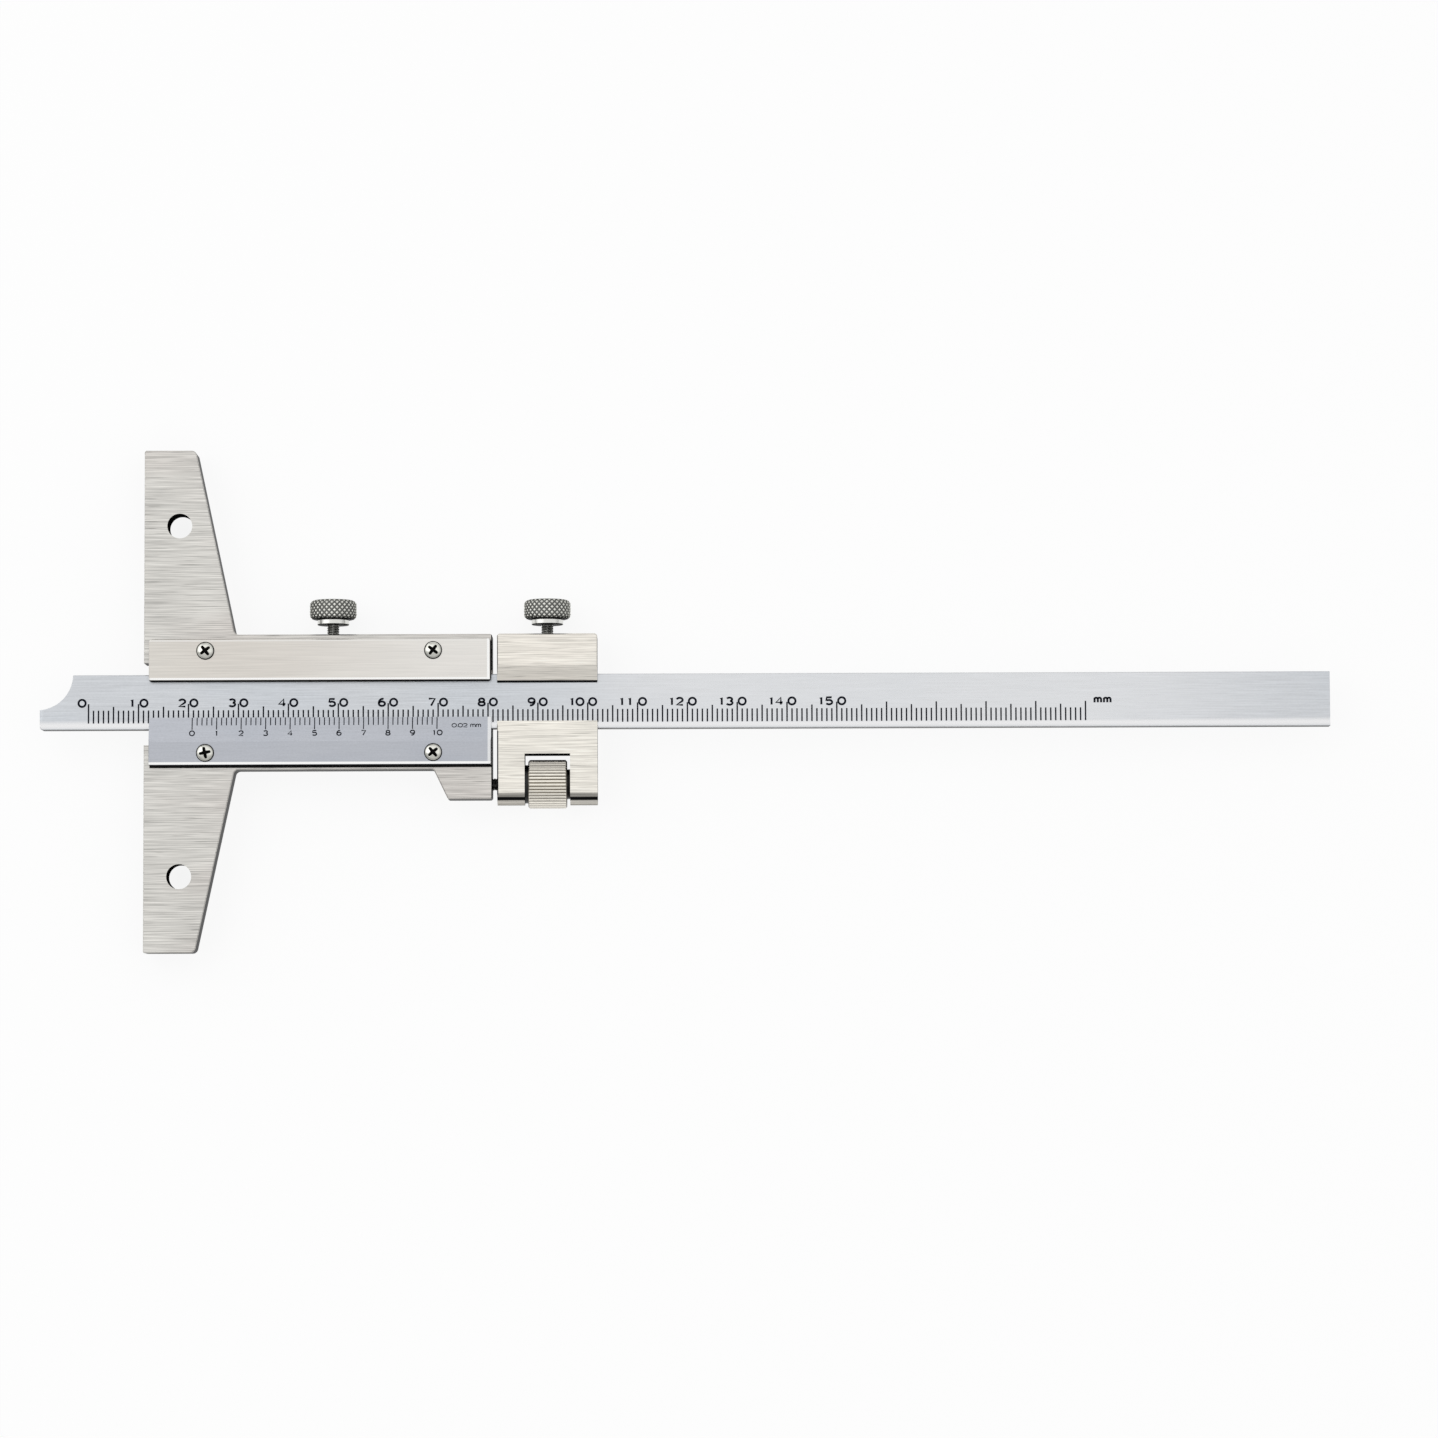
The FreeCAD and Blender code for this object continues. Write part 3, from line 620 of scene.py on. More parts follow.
@dataclass
class GroundPiece:
    """A milled and ground piece: the CAD solid with its edges broken and its walls told apart."""

    node: str
    body: str
    slot: str
    finish: Steel
    edge: float = 0.10                  # width of the broken edges
    broad: float = 0.30                 # width of the rounded ones
    is_broad: Callable[[Vector], bool] = lambda middle: False   # by an edge's middle, in millimetres
    is_bore: Callable[[Vector], bool] = lambda middle: False    # by a wall face's middle; these walls are painted near black as shade
    corner: float = 25.0                # edges that turn more than this are broken
    crease: float = 10.0                # edges that turn more than this aren't shaded smooth
    shift: EdgeShift | None = None

    def shift_edge(self, mesh: bpy.types.Mesh) -> None:
        """Moves the points of the shifted edge."""
        places = np.zeros(len(mesh.vertices) * 3, np.float32)
        mesh.vertices.foreach_get("co", places)
        places = places.reshape(-1, 3)
        along, height = places[:, 1] / MM, places[:, 2] / MM
        chosen = (along > self.shift.low) & (along < self.shift.high) & (height > self.shift.over)
        places[chosen, 1] += self.shift.by * MM
        mesh.vertices.foreach_set("co", places.ravel())

    def build(self) -> bpy.types.Object:
        """Builds the piece where its CAD node stands."""
        mesh = frame["nodes"][self.node].data.copy()
        mesh.name = self.node + "_ground"
        if self.shift is not None:
            self.shift_edge(mesh)
        work = bmesh.new()
        work.from_mesh(mesh)
        bmesh.ops.remove_doubles(work, verts=work.verts, dist=1e-7)
        weight = work.edges.layers.float.new("bevel_weight_edge")
        wall = work.faces.layers.float.new("wall")
        bore = work.faces.layers.float.new("bore")
        for edge in work.edges:
            if len(edge.link_faces) == 2 and edge.calc_face_angle() > math.radians(self.corner):
                middle = (edge.verts[0].co + edge.verts[1].co) / (2 * MM)
                edge[weight] = 1.0 if self.is_broad(middle) else self.edge / self.broad
        for face in work.faces:
            if abs(face.normal.z) < 0.01:
                face[wall] = 1.0
                face[bore] = float(self.is_bore(face.calc_center_median() / MM))
        work.to_mesh(mesh)
        work.free()
        mesh.shade_smooth()
        mesh.set_sharp_from_angle(angle=math.radians(self.crease))
        mesh.materials.clear()
        for finish in (self.finish, self.finish.broken_edges()):
            mesh.materials.append(finish.material())
        made = bpy.data.objects.new(self.node + "_ground", mesh)
        bpy.context.scene.collection.objects.link(made)
        rounding = made.modifiers.new("broken_edges", "BEVEL")
        rounding.width = self.broad * MM
        rounding.segments = 3
        rounding.limit_method = "WEIGHT"
        rounding.harden_normals = True
        # the bevel faces take the second material, the steel painted darker as shade
        rounding.material = 1
        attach(made, self.body)
        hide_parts(self.node)
        return made


@dataclass
class ClampScrew:
    """A thumb screw: rounded diamond-knurled head, turned collar and threaded shank, along Y."""

    node: str
    body: str
    knurl: bpy.types.Material
    collar: bpy.types.Material
    thread: bpy.types.Material
    dark: bpy.types.Material
    head_height: float = 3.9
    corner: float = 1.0                 # rounding of the head's rims
    collar_height: float = 1.1
    collar_radius: float = 3.175
    groove: float = 0.16                # rings at both ends of the collar, painted dark as shade
    thread_radius: float = 1.25
    pitch: float = 0.45
    thread_depth: float = 0.17
    diamonds: int = 27                  # round the head
    diamond_height: float = 1.1
    knurl_depth: float = 0.24
    cap_crest: float = 0.42             # the flat end counts as this high a crest
    columns: int = 320

    def head_profile(self, radius: float) -> tuple[np.ndarray, np.ndarray, np.ndarray]:
        """The head's outline from its under face to its top, rounded by quarter circles.

        Args:
            radius: the head's largest radius.

        Returns:
            Heights over the under face, radii, and the length walked along the outline.
        """
        bend = np.linspace(0, math.pi / 2, 14)
        straight = np.linspace(self.corner, self.head_height - self.corner, 26)[1:-1]
        heights = np.concatenate([self.corner * (1 - np.cos(bend)), straight,
                                  self.head_height - self.corner * (1 - np.sin(bend))])
        radii = np.concatenate([radius - self.corner * (1 - np.sin(bend)),
                                np.full(len(straight), radius),
                                radius - self.corner * (1 - np.cos(bend))])
        steps = np.hypot(np.diff(heights), np.diff(radii))
        return heights, radii, np.concatenate([[0.0], np.cumsum(steps)])

    def crests(self, walked: np.ndarray) -> np.ndarray:
        """Height of the diamond knurl, 0 in the grooves and 1 on the points.

        Two families of grooves cross: with u the diamonds round the head and v the diamonds
        along it, a point is as high as the nearer of the waves of u + v and u - v leave it.
        """
        turn = np.linspace(0, self.diamonds, self.columns, endpoint=False)[None, :]
        climb = (walked / self.diamond_height)[:, None]
        waves = [np.abs(2 * ((turn + sign * climb) % 1.0) - 1) for sign in (1, -1)]
        return 1 - np.maximum(*waves)

    def build(self) -> bpy.types.Object:
        """Builds the screw where its CAD node stands."""
        low, high = node_box(self.node)
        radius = (high[0] - low[0]) / 2
        under = high[1] - self.head_height
        collar_low = under - self.collar_height
        shank = np.arange(low[1] + 0.3, collar_low, self.pitch / 8)
        cut = thread_depth(shank, self.columns, self.pitch, self.thread_depth)
        heights, radii, walked = self.head_profile(radius)
        crest = self.crests(walked)
        ends = smooth(radii, radius - self.corner, radius - self.corner * 0.7)[:, None]
        head = radii[:, None] - self.knurl_depth * (1 - crest) * ends
        rings = np.ones((1, self.columns))
        break_edge = 0.12
        along = np.concatenate([
            [low[1]], shank, [collar_low, collar_low, collar_low + break_edge,
                              collar_low + self.groove, under - self.groove, under - self.groove / 2,
                              under], under + heights, [high[1], high[1] - 0.12, high[1] - 0.12]])
        table = np.vstack([
            rings * (self.thread_radius - 0.3), self.thread_radius - cut,
            rings * self.thread_radius * 0.86, rings * (self.collar_radius - break_edge),
            rings * self.collar_radius, rings * self.collar_radius, rings * self.collar_radius,
            rings * (self.collar_radius - break_edge), rings * (self.collar_radius - break_edge),
            head, rings * (radii[-1] * 0.82), rings * (radii[-1] * 0.74), rings * 0.6])
        points, faces = closed_rings(along, table, ((low[0] + high[0]) / 2, 0, (low[2] + high[2]) / 2),
                                     Axis.Y)
        made = mesh_piece(self.node + "_knurled", points, faces,
                          [self.thread, self.collar, self.knurl, self.dark])
        # The collar's under face and the rings at both its ends are painted dark as shade.
        paint_rows(made, Axis.Y, [(collar_low - 0.001, 3), (collar_low + self.groove, 1),
                                  (under - self.groove, 3), (under + self.groove, 2)])
        centre = ((low[0] + high[0]) / 2, (low[2] + high[2]) / 2)

        def crest_at(at: Points) -> np.ndarray:
            """How near the crests' envelope a point lies, from its own radius and height."""
            reach = np.hypot(at[:, 0] - centre[0], at[:, 2] - centre[1])
            outline = np.interp(at[:, 1] - under, heights, radii)
            crest = np.clip(1 - (outline - reach) / self.knurl_depth, 0, 1)
            on_cap = (at[:, 1] > high[1] - 0.2) & (reach < radii[-1] * 0.9)
            return np.where(on_cap, self.cap_crest, crest)
        keep_attribute(made, "crest", crest_at)
        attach(made, self.body)
        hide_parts(self.node)
        return made


@dataclass
class PlateScrew:
    """A pan-head screw with a cross recess, its head up along Z."""

    node: str
    head: bpy.types.Material
    shank: bpy.types.Material
    turn: float                         # the cross's turn, in degrees
    crown: float = 0.92                 # height of the dome over the head's straight edge
    cross_reach: float = 1.12
    cross_width: float = 0.30           # half the width of an arm
    cross_depth: float = 0.62
    shank_radius: float = 0.95
    plate_top: float = 7.8
    columns: int = 144

    def sag(self, away: np.ndarray, radius: float) -> np.ndarray:
        """How far a ball's surface lies below its top, at a distance from the screw's axis."""
        ball = (radius ** 2 + self.crown ** 2) / (2 * self.crown)
        return ball - np.sqrt(ball ** 2 - np.minimum(away, radius) ** 2)

    def build(self) -> bpy.types.Object:
        """Builds the screw where its CAD node stands."""
        low, high = node_box(self.node)
        radius = (high[0] - low[0]) / 2
        centre = ((low[0] + high[0]) / 2, (low[1] + high[1]) / 2, 0.0)
        reach = np.linspace(0.02, radius, 46)
        turn = np.linspace(0, 2 * math.pi, self.columns, endpoint=False)
        rim = high[2] - self.plate_top - self.crown
        dome = high[2] - self.sag(reach, radius)
        sideways = turn - math.radians(self.turn)
        along = reach[:, None] * np.cos(sideways)
        across = reach[:, None] * np.sin(sideways)
        arms = []
        for first, second in ((along, across), (across, along)):
            width = self.cross_width * (1 - 0.35 * np.abs(first) / self.cross_reach)
            inside = smooth(width - np.abs(second), -0.09, 0.09)
            arms.append(inside * smooth(self.cross_reach - np.abs(first), -0.12, 0.2))
        recess = np.maximum(*arms)
        tops = dome[:, None] - self.cross_depth * recess
        points = [np.stack([centre[0] + reach[:, None] * np.cos(turn),
                            centre[1] + reach[:, None] * np.sin(turn), tops], -1).reshape(-1, 3)]
        rows = len(reach)
        for ring, height in ((radius, self.plate_top + rim * 0.4), (radius - 0.1, self.plate_top),
                             (self.shank_radius, self.plate_top), (self.shank_radius, low[2])):
            points.append(ring_points(np.array([height]), np.full((1, self.columns), ring), centre, Axis.Z))
            rows += 1
        faces = grid_faces(rows, self.columns)
        middle, foot = rows * self.columns, rows * self.columns + 1
        last = (rows - 1) * self.columns
        points.append(np.array([[centre[0], centre[1], tops[0].mean()], [centre[0], centre[1], low[2]]]))
        for column in range(self.columns):
            beside = (column + 1) % self.columns
            faces += [(middle, column, beside), (foot, last + beside, last + column)]
        made = mesh_piece(self.node + "_domed", np.vstack(points), faces, [self.head, self.shank], 35)
        paint_rows(made, Axis.Z, [(low[2] - 1, 1), (self.plate_top - 0.01, 0)])

        def sunk(at: Points) -> np.ndarray:
            """How deep a point lies under the dome, from 0 to 1; the head's seam counts as deep too, so that
            it is painted dark as shade.
            """
            away = np.hypot(at[:, 0] - centre[0], at[:, 1] - centre[1])
            skin = high[2] - self.sag(away, radius)
            cross = np.clip((skin - at[:, 2]) / self.cross_depth, 0, 1) * (away < self.cross_reach + 0.3)
            return np.maximum(cross, smooth(away, radius - 0.24, radius - 0.1))
        keep_attribute(made, "recess", sunk)
        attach(made, "slider")
        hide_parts(self.node)
        return made


@dataclass(frozen=True)
class ScrewHead:
    """Polished plated screw head: bright dome; the cross recess and the seam are painted dark as shade."""

    name: str
    dome: Colour
    recess: Colour

    def material(self) -> bpy.types.Material:
        """Builds the node material."""
        tree = Shader(self.name)
        # The cross recess and the seam round the dome are painted dark as shade, and are not metal there.
        sunk = tree.attribute("recess").between(0.12, 0.5)
        worn = tree.noise((0.6, 0.6, 0.6), 3.0, 2.4, 0.6)
        colour = tree.blend(sunk, self.dome, self.recess)
        tree.surface.inputs["Specular IOR Level"].default_value = 0.0
        return tree.wear(Base_Color=tree.scaled(colour, 0.86 + worn * 0.24), Metallic=1 - sunk,
                         Roughness=0.13 + worn * 0.08 + sunk * 0.4, Normal=tree.relief(worn, 0.01, 0.25))


@dataclass
class AdjustingRod:
    """The threaded rod of the fine adjustment, along X."""

    node: str
    material: bpy.types.Material
    pitch: float = 0.5
    depth: float = 0.2
    columns: int = 72

    def build(self) -> bpy.types.Object:
        """Builds the rod where its CAD node stands."""
        low, high = node_box(self.node)
        radius = (high[2] - low[2]) / 2
        along = np.arange(low[0] + 0.25, high[0] - 0.2, self.pitch / 8)
        cut = thread_depth(along, self.columns, self.pitch, self.depth)
        ring = np.ones((1, self.columns))
        table = np.vstack([ring * (radius - 0.3), radius - cut, ring * (radius - 0.3)])
        places = np.concatenate([[low[0]], along, [high[0]]])
        centre = (0, (low[1] + high[1]) / 2, (low[2] + high[2]) / 2)
        points, faces = closed_rings(places, table, centre, Axis.X)
        made = mesh_piece(self.node + "_threaded", points, faces, [self.material], 60)
        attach(made, "slider")
        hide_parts(self.node)
        return made


# ---------------------------------------------------------------- engraving

def arc(centre: tuple[float, float], reach: tuple[float, float], start: float, end: float,
        steps: int) -> np.ndarray:
    """Points on part of an ellipse: centre + reach * (cos a, sin a), a in degrees from start to end."""
    angle = np.radians(np.linspace(start, end, steps))
    return np.stack([centre[0] + reach[0] * np.cos(angle), centre[1] + reach[1] * np.sin(angle)], -1)


def glyph_strokes() -> dict[str, list[np.ndarray]]:
    """The wide engraver's letters as centre lines, in a cell 1 high; x is 0 at each letter's middle."""
    def line(*points: tuple[float, float]) -> np.ndarray:
        """A path of straight runs."""
        return np.array(points, float)
    m_arch = [arc((x, 0.42), (0.19, 0.20), 180, 0, 9) for x in (-0.19, 0.19)]
    return {
        "0": [arc((0, 0.5), (0.5, 0.5), 90, 450, 29)],
        "1": [line((-0.16, 0.82), (0.04, 1.0), (0.04, 0.0))],
        "2": [np.vstack([arc((0, 0.70), (0.42, 0.30), 165, -35, 16), line((-0.44, 0.0), (0.46, 0.0))])],
        "3": [arc((0, 0.755), (0.38, 0.245), 155, -75, 15), arc((0, 0.265), (0.43, 0.265), 80, -155, 17)],
        "4": [line((0.22, 0.0), (0.22, 1.0), (-0.46, 0.30), (0.48, 0.30))],
        "5": [np.vstack([line((0.38, 1.0), (-0.32, 1.0), (-0.38, 0.55)),
                         arc((0, 0.31), (0.44, 0.31), 120, -150, 18)])],
        "6": [arc((0, 0.31), (0.43, 0.31), 90, 450, 25), arc((0.10, 0.40), (0.53, 0.60), 185, 75, 13)],
        "7": [line((-0.42, 1.0), (0.44, 1.0), (-0.10, 0.0))],
        "8": [arc((0, 0.75), (0.36, 0.25), 90, 450, 25), arc((0, 0.255), (0.44, 0.255), 90, 450, 25)],
        "9": [arc((0, 0.69), (0.43, 0.31), 90, 450, 25), arc((-0.10, 0.60), (0.53, 0.60), 5, -105, 13)],
        "m": [line((-0.38, 0.0), (-0.38, 0.62)), *[np.vstack([half, half[-1:] * (1, 0)]) for half in m_arch]],
        ".": [line((0.0, 0.0), (0.0, 0.12))],
    }


def ribbon(path: np.ndarray, width: float) -> tuple[np.ndarray, np.ndarray]:
    """The two sides of a stroke: each point moved half the width across the path's direction.

    Args:
        path: the stroke's centre line, one row per point.
        width: the stroke's width.

    Returns:
        The left and the right side, as many points each as the path.
    """
    ahead = np.gradient(path, axis=0)
    if len(path) > 3 and np.allclose(path[0], path[-1]):
        ahead[0] = ahead[-1] = path[1] - path[-2]
    ahead /= np.linalg.norm(ahead, axis=1, keepdims=True)
    across = np.stack([-ahead[:, 1], ahead[:, 0]], -1) * width / 2
    return path + across, path - across


def slab_of(left: np.ndarray, right: np.ndarray) -> tuple[np.ndarray, list[tuple[int, ...]]]:
    """A thin closed strip between two sides: flat points with a third part of 0 below and 1 above.

    Args:
        left, right: the strip's two sides.

    Returns:
        Its points and faces.
    """
    count = len(left)
    points = np.vstack([np.column_stack([side, np.full(count, level)])
                        for level in (0.0, 1.0) for side in (left, right)])
    faces: list[tuple[int, ...]] = []
    for step in range(count - 1):
        a, b, c, d = step, step + 1, count + step + 1, count + step
        lift = 2 * count
        faces += [(a, b, c, d), (a + lift, d + lift, c + lift, b + lift),
                  (a, a + lift, b + lift, b), (d, c, c + lift, d + lift)]
    is_ring = np.allclose(left[0], left[-1]) and np.allclose(right[0], right[-1])
    if not is_ring:
        faces += [(0, count, 3 * count, 2 * count),
                  (count - 1, 3 * count - 1, 4 * count - 1, 2 * count - 1)]
    return points, faces


@dataclass
class Engraving:
    """Marks on one face, gathered as thin closed strips and laid on that face as one piece."""

    name: str
    body: str
    slot: str
    ink: bpy.types.Material
    surface: Callable[[np.ndarray], np.ndarray]     # height of the face over (x, y)
    proud: float = 0.012
    sunk: float = 0.02
    points: list[np.ndarray] = field(default_factory=list)
    faces: list[tuple[int, ...]] = field(default_factory=list)
    count: int = 0

    def add(self, left: np.ndarray, right: np.ndarray) -> None:
        """Adds one strip between two sides."""
        points, faces = slab_of(left, right)
        self.faces += [tuple(number + self.count for number in face) for face in faces]
        self.points.append(points)
        self.count += len(points)

    def line(self, at: float, low: float, high: float, width: float) -> None:
        """Adds one straight line across the scale, from low to high."""
        self.add(np.array([(at - width / 2, low), (at - width / 2, high)]),
                 np.array([(at + width / 2, low), (at + width / 2, high)]))

    def letter(self, sign: str, middle: float, foot: float, height: float, wide: float,
               stroke: float) -> None:
        """Adds one letter.

        Args:
            sign: the letter.
            middle: the place of its middle along X.
            foot: the place of its foot along Y.
            height: its height over the centre lines.
            wide: its width over that height.
            stroke: the width of its strokes.
        """
        for path in glyph_strokes()[sign]:
            self.add(*ribbon(path * (height * wide, height) + (middle, foot), stroke))

    def build(self) -> bpy.types.Object:
        """Lays every strip on its face."""
        points = np.vstack(self.points)
        points[:, 2] = self.surface(points) - self.sunk + points[:, 2] * (self.sunk + self.proud)
        made = mesh_piece(self.name, points, self.faces, [self.ink], 30)
        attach(made, self.body)
        return made


@dataclass
class MainScale:
    """The blade's millimetre scale, numbered every ten."""

    ink: bpy.types.Material
    zero: float = -11.045               # place of the zero line
    lines: int = 201
    foot: float = -4.2                  # lower end of every line
    lengths: tuple[float, float, float] = (3.9, 3.35, 2.6)      # tens, fives, ones
    width: float = 0.3
    last_label: int = 150
    digit_height: float = 1.42
    digit_foot: float = -0.84
    stroke: float = 0.42
    unit_place: float = 192.4
    unit_step: float = 0.95             # from there to the middle of each letter
    unit_foot: float = -0.62
    unit_height: float = 1.5
    unit_wide: float = 1.15

    def build(self) -> bpy.types.Object:
        """Builds the lines, the numbers and the unit."""
        top = node_box("blade")[1][2]
        marks = Engraving("blade_scale", "blade", "satin_chrome", self.ink,
                          lambda at: np.full(len(at), top))
        for count in range(self.lines):
            kind = 0 if count % 10 == 0 else 1 if count % 5 == 0 else 2
            marks.line(self.zero + count, self.foot, self.foot + self.lengths[kind], self.width)
        for label in range(0, self.last_label + 1, 10):
            self.number(marks, label)
        for step in (-self.unit_step, self.unit_step):
            marks.letter("m", self.unit_place + step, self.unit_foot, self.unit_height, self.unit_wide,
                         self.stroke)
        return marks.build()

    def number(self, marks: Engraving, label: int) -> None:
        """Adds one number: its last digit right of the line, the others left of it."""
        places = {1: (-1.3,), 2: (-1.27, 1.08), 3: (-3.15, -1.55, 1.0)}
        signs = str(label)
        for sign, place in zip(signs, places[len(signs)]):
            marks.letter(sign, self.zero + label + place, self.digit_foot, self.digit_height, 1.0,
                         self.stroke)


@dataclass
class VernierScale:
    """The vernier plate's fifty divisions on its bevelled edge, numbered 0 to 10."""

    ink: bpy.types.Material
    zero: float = 9.755
    step: float = 0.98
    lines: int = 51
    edge: float = -3.1                  # the reading edge
    bevel_width: float = 4.9
    bevel_low: float = 6.8
    lengths: tuple[float, float] = (2.45, 1.6)
    width: float = 0.2
    digit_height: float = 0.96
    digit_foot: float = -6.78
    stroke: float = 0.24
    gap: float = 0.03                   # from the reading edge to the lines
    digit_step: float = 1.1             # between the two digits of 10
    unit_start: float = 62.2
    unit_drop: float = 2.1              # from the reading edge down to the unit's foot
    unit_wide: float = 1.25
    unit_stroke: float = 0.17
    unit_heights: tuple[float, float] = (0.72, 0.95)        # of its digits and of its letters

    def height(self, at: np.ndarray) -> np.ndarray:
        """Height of the plate's face: it rises evenly from the reading edge to the flat."""
        top = node_box("vernier_plate")[1][2]
        share = np.clip((self.edge - at[:, 1]) / self.bevel_width, 0, 1)
        return self.bevel_low + (top - self.bevel_low) * share

    def build(self) -> bpy.types.Object:
        """Builds the lines, the numbers and the resolution."""
        marks = Engraving("vernier_scale", "slider", "satin_chrome", self.ink, self.height)
        for count in range(self.lines):
            length = self.lengths[0] if count % 5 == 0 else self.lengths[1]
            marks.line(self.zero + count * self.step, self.edge - length, self.edge - self.gap, self.width)
        for label in range(11):
            at = self.zero + label * 5 * self.step
            signs = str(label)
            for number, sign in enumerate(signs):
                beside = (number - (len(signs) - 1) / 2) * self.digit_step
                marks.letter(sign, at + beside, self.digit_foot, self.digit_height, 1.0, self.stroke)
        for sign, place in zip("0.02mm", (0.0, 0.62, 1.24, 2.2, 3.75, 4.85)):
            tall = self.unit_heights[sign == "m"]
            marks.letter(sign, self.unit_start + place, self.edge - self.unit_drop, tall, self.unit_wide,
                         self.unit_stroke)
        return marks.build()


# ---------------------------------------------------------------- studio

@dataclass
class Studio:
    """Floor, lights and camera."""

    floor_height: float = -1.085        # just under the fine-adjusting nut
    floor_size: float = 8000.0
    foot: tuple[float, float, float] = (100.8, -75.9, 1000.0)      # the camera's place
    aim: tuple[float, float, float] = (115.288, -3.716, 6.5)
    roll: float = -0.26
    lens: float = 124.263               # on a sensor 36 mm wide
    lamp_aim: tuple[float, float, float] = (110.0, 0.0, 0.0)       # the gauge's middle
    sky_strength: float = 1.2
    glow: float = 0.88                  # share of plain white in the floor, as rays see it
    from_front: tuple[tuple[float, float], ...] = ((0.0, 0.62), (0.2, 0.62), (0.35, 0.76),
                                                   (0.46, 1.0), (1.0, 1.0))
    from_horizon: tuple[tuple[float, float], ...] = ((0.0, 0.45), (0.25, 0.75), (0.5, 1.0), (1.0, 1.0))

    def floor(self) -> None:
        """A wide pale floor that shows nearly white and keeps the shadow."""
        half = self.floor_size / 2
        corners = np.array([(-half, -half), (half, -half), (half, half), (-half, half)])
        mesh = bpy.data.meshes.new("floor")
        mesh.from_pydata([(x * MM, y * MM, self.floor_height * MM) for x, y in corners.tolist()],
                         [], [(0, 1, 2, 3)])
        tree = Shader("floor_paper")
        paper = tree.noise((9.0, 9.0, 9.0), 4.0, 1.0)
        tree.wear(Base_Color=tree.scaled((0.96, 0.96, 0.96), 0.99 + paper * 0.02), Roughness=0.9)
        tree.surface.inputs["Specular IOR Level"].default_value = 0.0
        path = tree.node("ShaderNodeLightPath")
        seen = Value(tree, path.outputs["Is Camera Ray"])
        seen = seen.most(Value(tree, path.outputs["Is Glossy Ray"]))
        seen = seen.most(Value(tree, path.outputs["Is Transmission Ray"]))
        glow = tree.node("ShaderNodeEmission", None, {"Color": (1.0, 1.0, 1.0), "Strength": 1.0})
        mixed = tree.node("ShaderNodeMixShader", None,
                          {0: seen * self.glow, 1: tree.surface.outputs[0], 2: glow.outputs[0]})
        tree.put(tree.output.inputs["Surface"], mixed.outputs[0])
        mesh.materials.append(tree.material)
        made = bpy.data.objects.new("floor", mesh)
        bpy.context.scene.collection.objects.link(made)

    def sky(self) -> None:
        """A soft sky: full overhead and towards +Y, dimmer towards -Y and towards the horizon."""
        world = bpy.data.worlds.new("studio")
        bpy.context.scene.world = world
        tree = Tree(world)
        direction = tree.node("ShaderNodeTexCoord").outputs["Generated"]
        parts = tree.node("ShaderNodeSeparateXYZ", None, {0: direction}).outputs
        glow = Value(tree, self.ramp(tree, Value(tree, parts[1]) * 0.5 + 0.5, self.from_front))
        glow = glow * Value(tree, self.ramp(tree, Value(tree, parts[2]), self.from_horizon))
        shine = tree.node("ShaderNodeBackground", None, {"Strength": glow * self.sky_strength})
        tree.node("ShaderNodeOutputWorld", None, {"Surface": shine.outputs[0]})

    def ramp(self, tree: Tree, share: Value, stops: tuple[tuple[float, float], ...]) -> bpy.types.NodeSocket:
        """A grey ramp over a share from 0 to 1, from (place, brightness) pairs."""
        greys = [(place, (grey, grey, grey)) for place, grey in stops]
        return tree.node("ShaderNodeValToRGB", {"stops": greys}, {0: share}).outputs[0]

    def lamp(self, name: str, place: tuple[float, float, float], size: float, power: float) -> None:
        """A square soft light that faces the gauge's middle."""
        data = bpy.data.lights.new(name, "AREA")
        data.shape = "SQUARE"
        data.size = size * MM
        data.energy = power
        made = bpy.data.objects.new(name, data)
        bpy.context.scene.collection.objects.link(made)
        made.location = Vector(place) * MM
        toward = Vector(self.lamp_aim) * MM - made.location
        made.rotation_euler = toward.to_track_quat("-Z", "Y").to_euler()

    def camera(self) -> None:
        """The camera over the gauge, a little to its lower side."""
        data = bpy.data.cameras.new("camera")
        data.sensor_width = 36.0
        data.lens = self.lens
        data.clip_start = 0.05
        data.clip_end = 50.0
        made = bpy.data.objects.new("camera", data)
        bpy.context.scene.collection.objects.link(made)
        back = (Vector(self.foot) - Vector(self.aim)).normalized()
        right = Vector((0, 1, 0)).cross(back).normalized()
        up = back.cross(right)
        turn = Matrix((right, up, back)).transposed() @ Matrix.Rotation(math.radians(self.roll), 3, "Z")
        made.matrix_world = Matrix.Translation(Vector(self.foot) * MM) @ turn.to_4x4()
        bpy.context.scene.camera = made

    def build(self) -> None:
        """Sets up the whole studio."""
        self.floor()
        self.sky()
        self.lamp("key_light", (-800.0, 450.0, 600.0), 1300.0, 3.0)
        self.camera()
        bpy.context.scene.view_settings.view_transform = "Standard"


# ---------------------------------------------------------------- the gauge

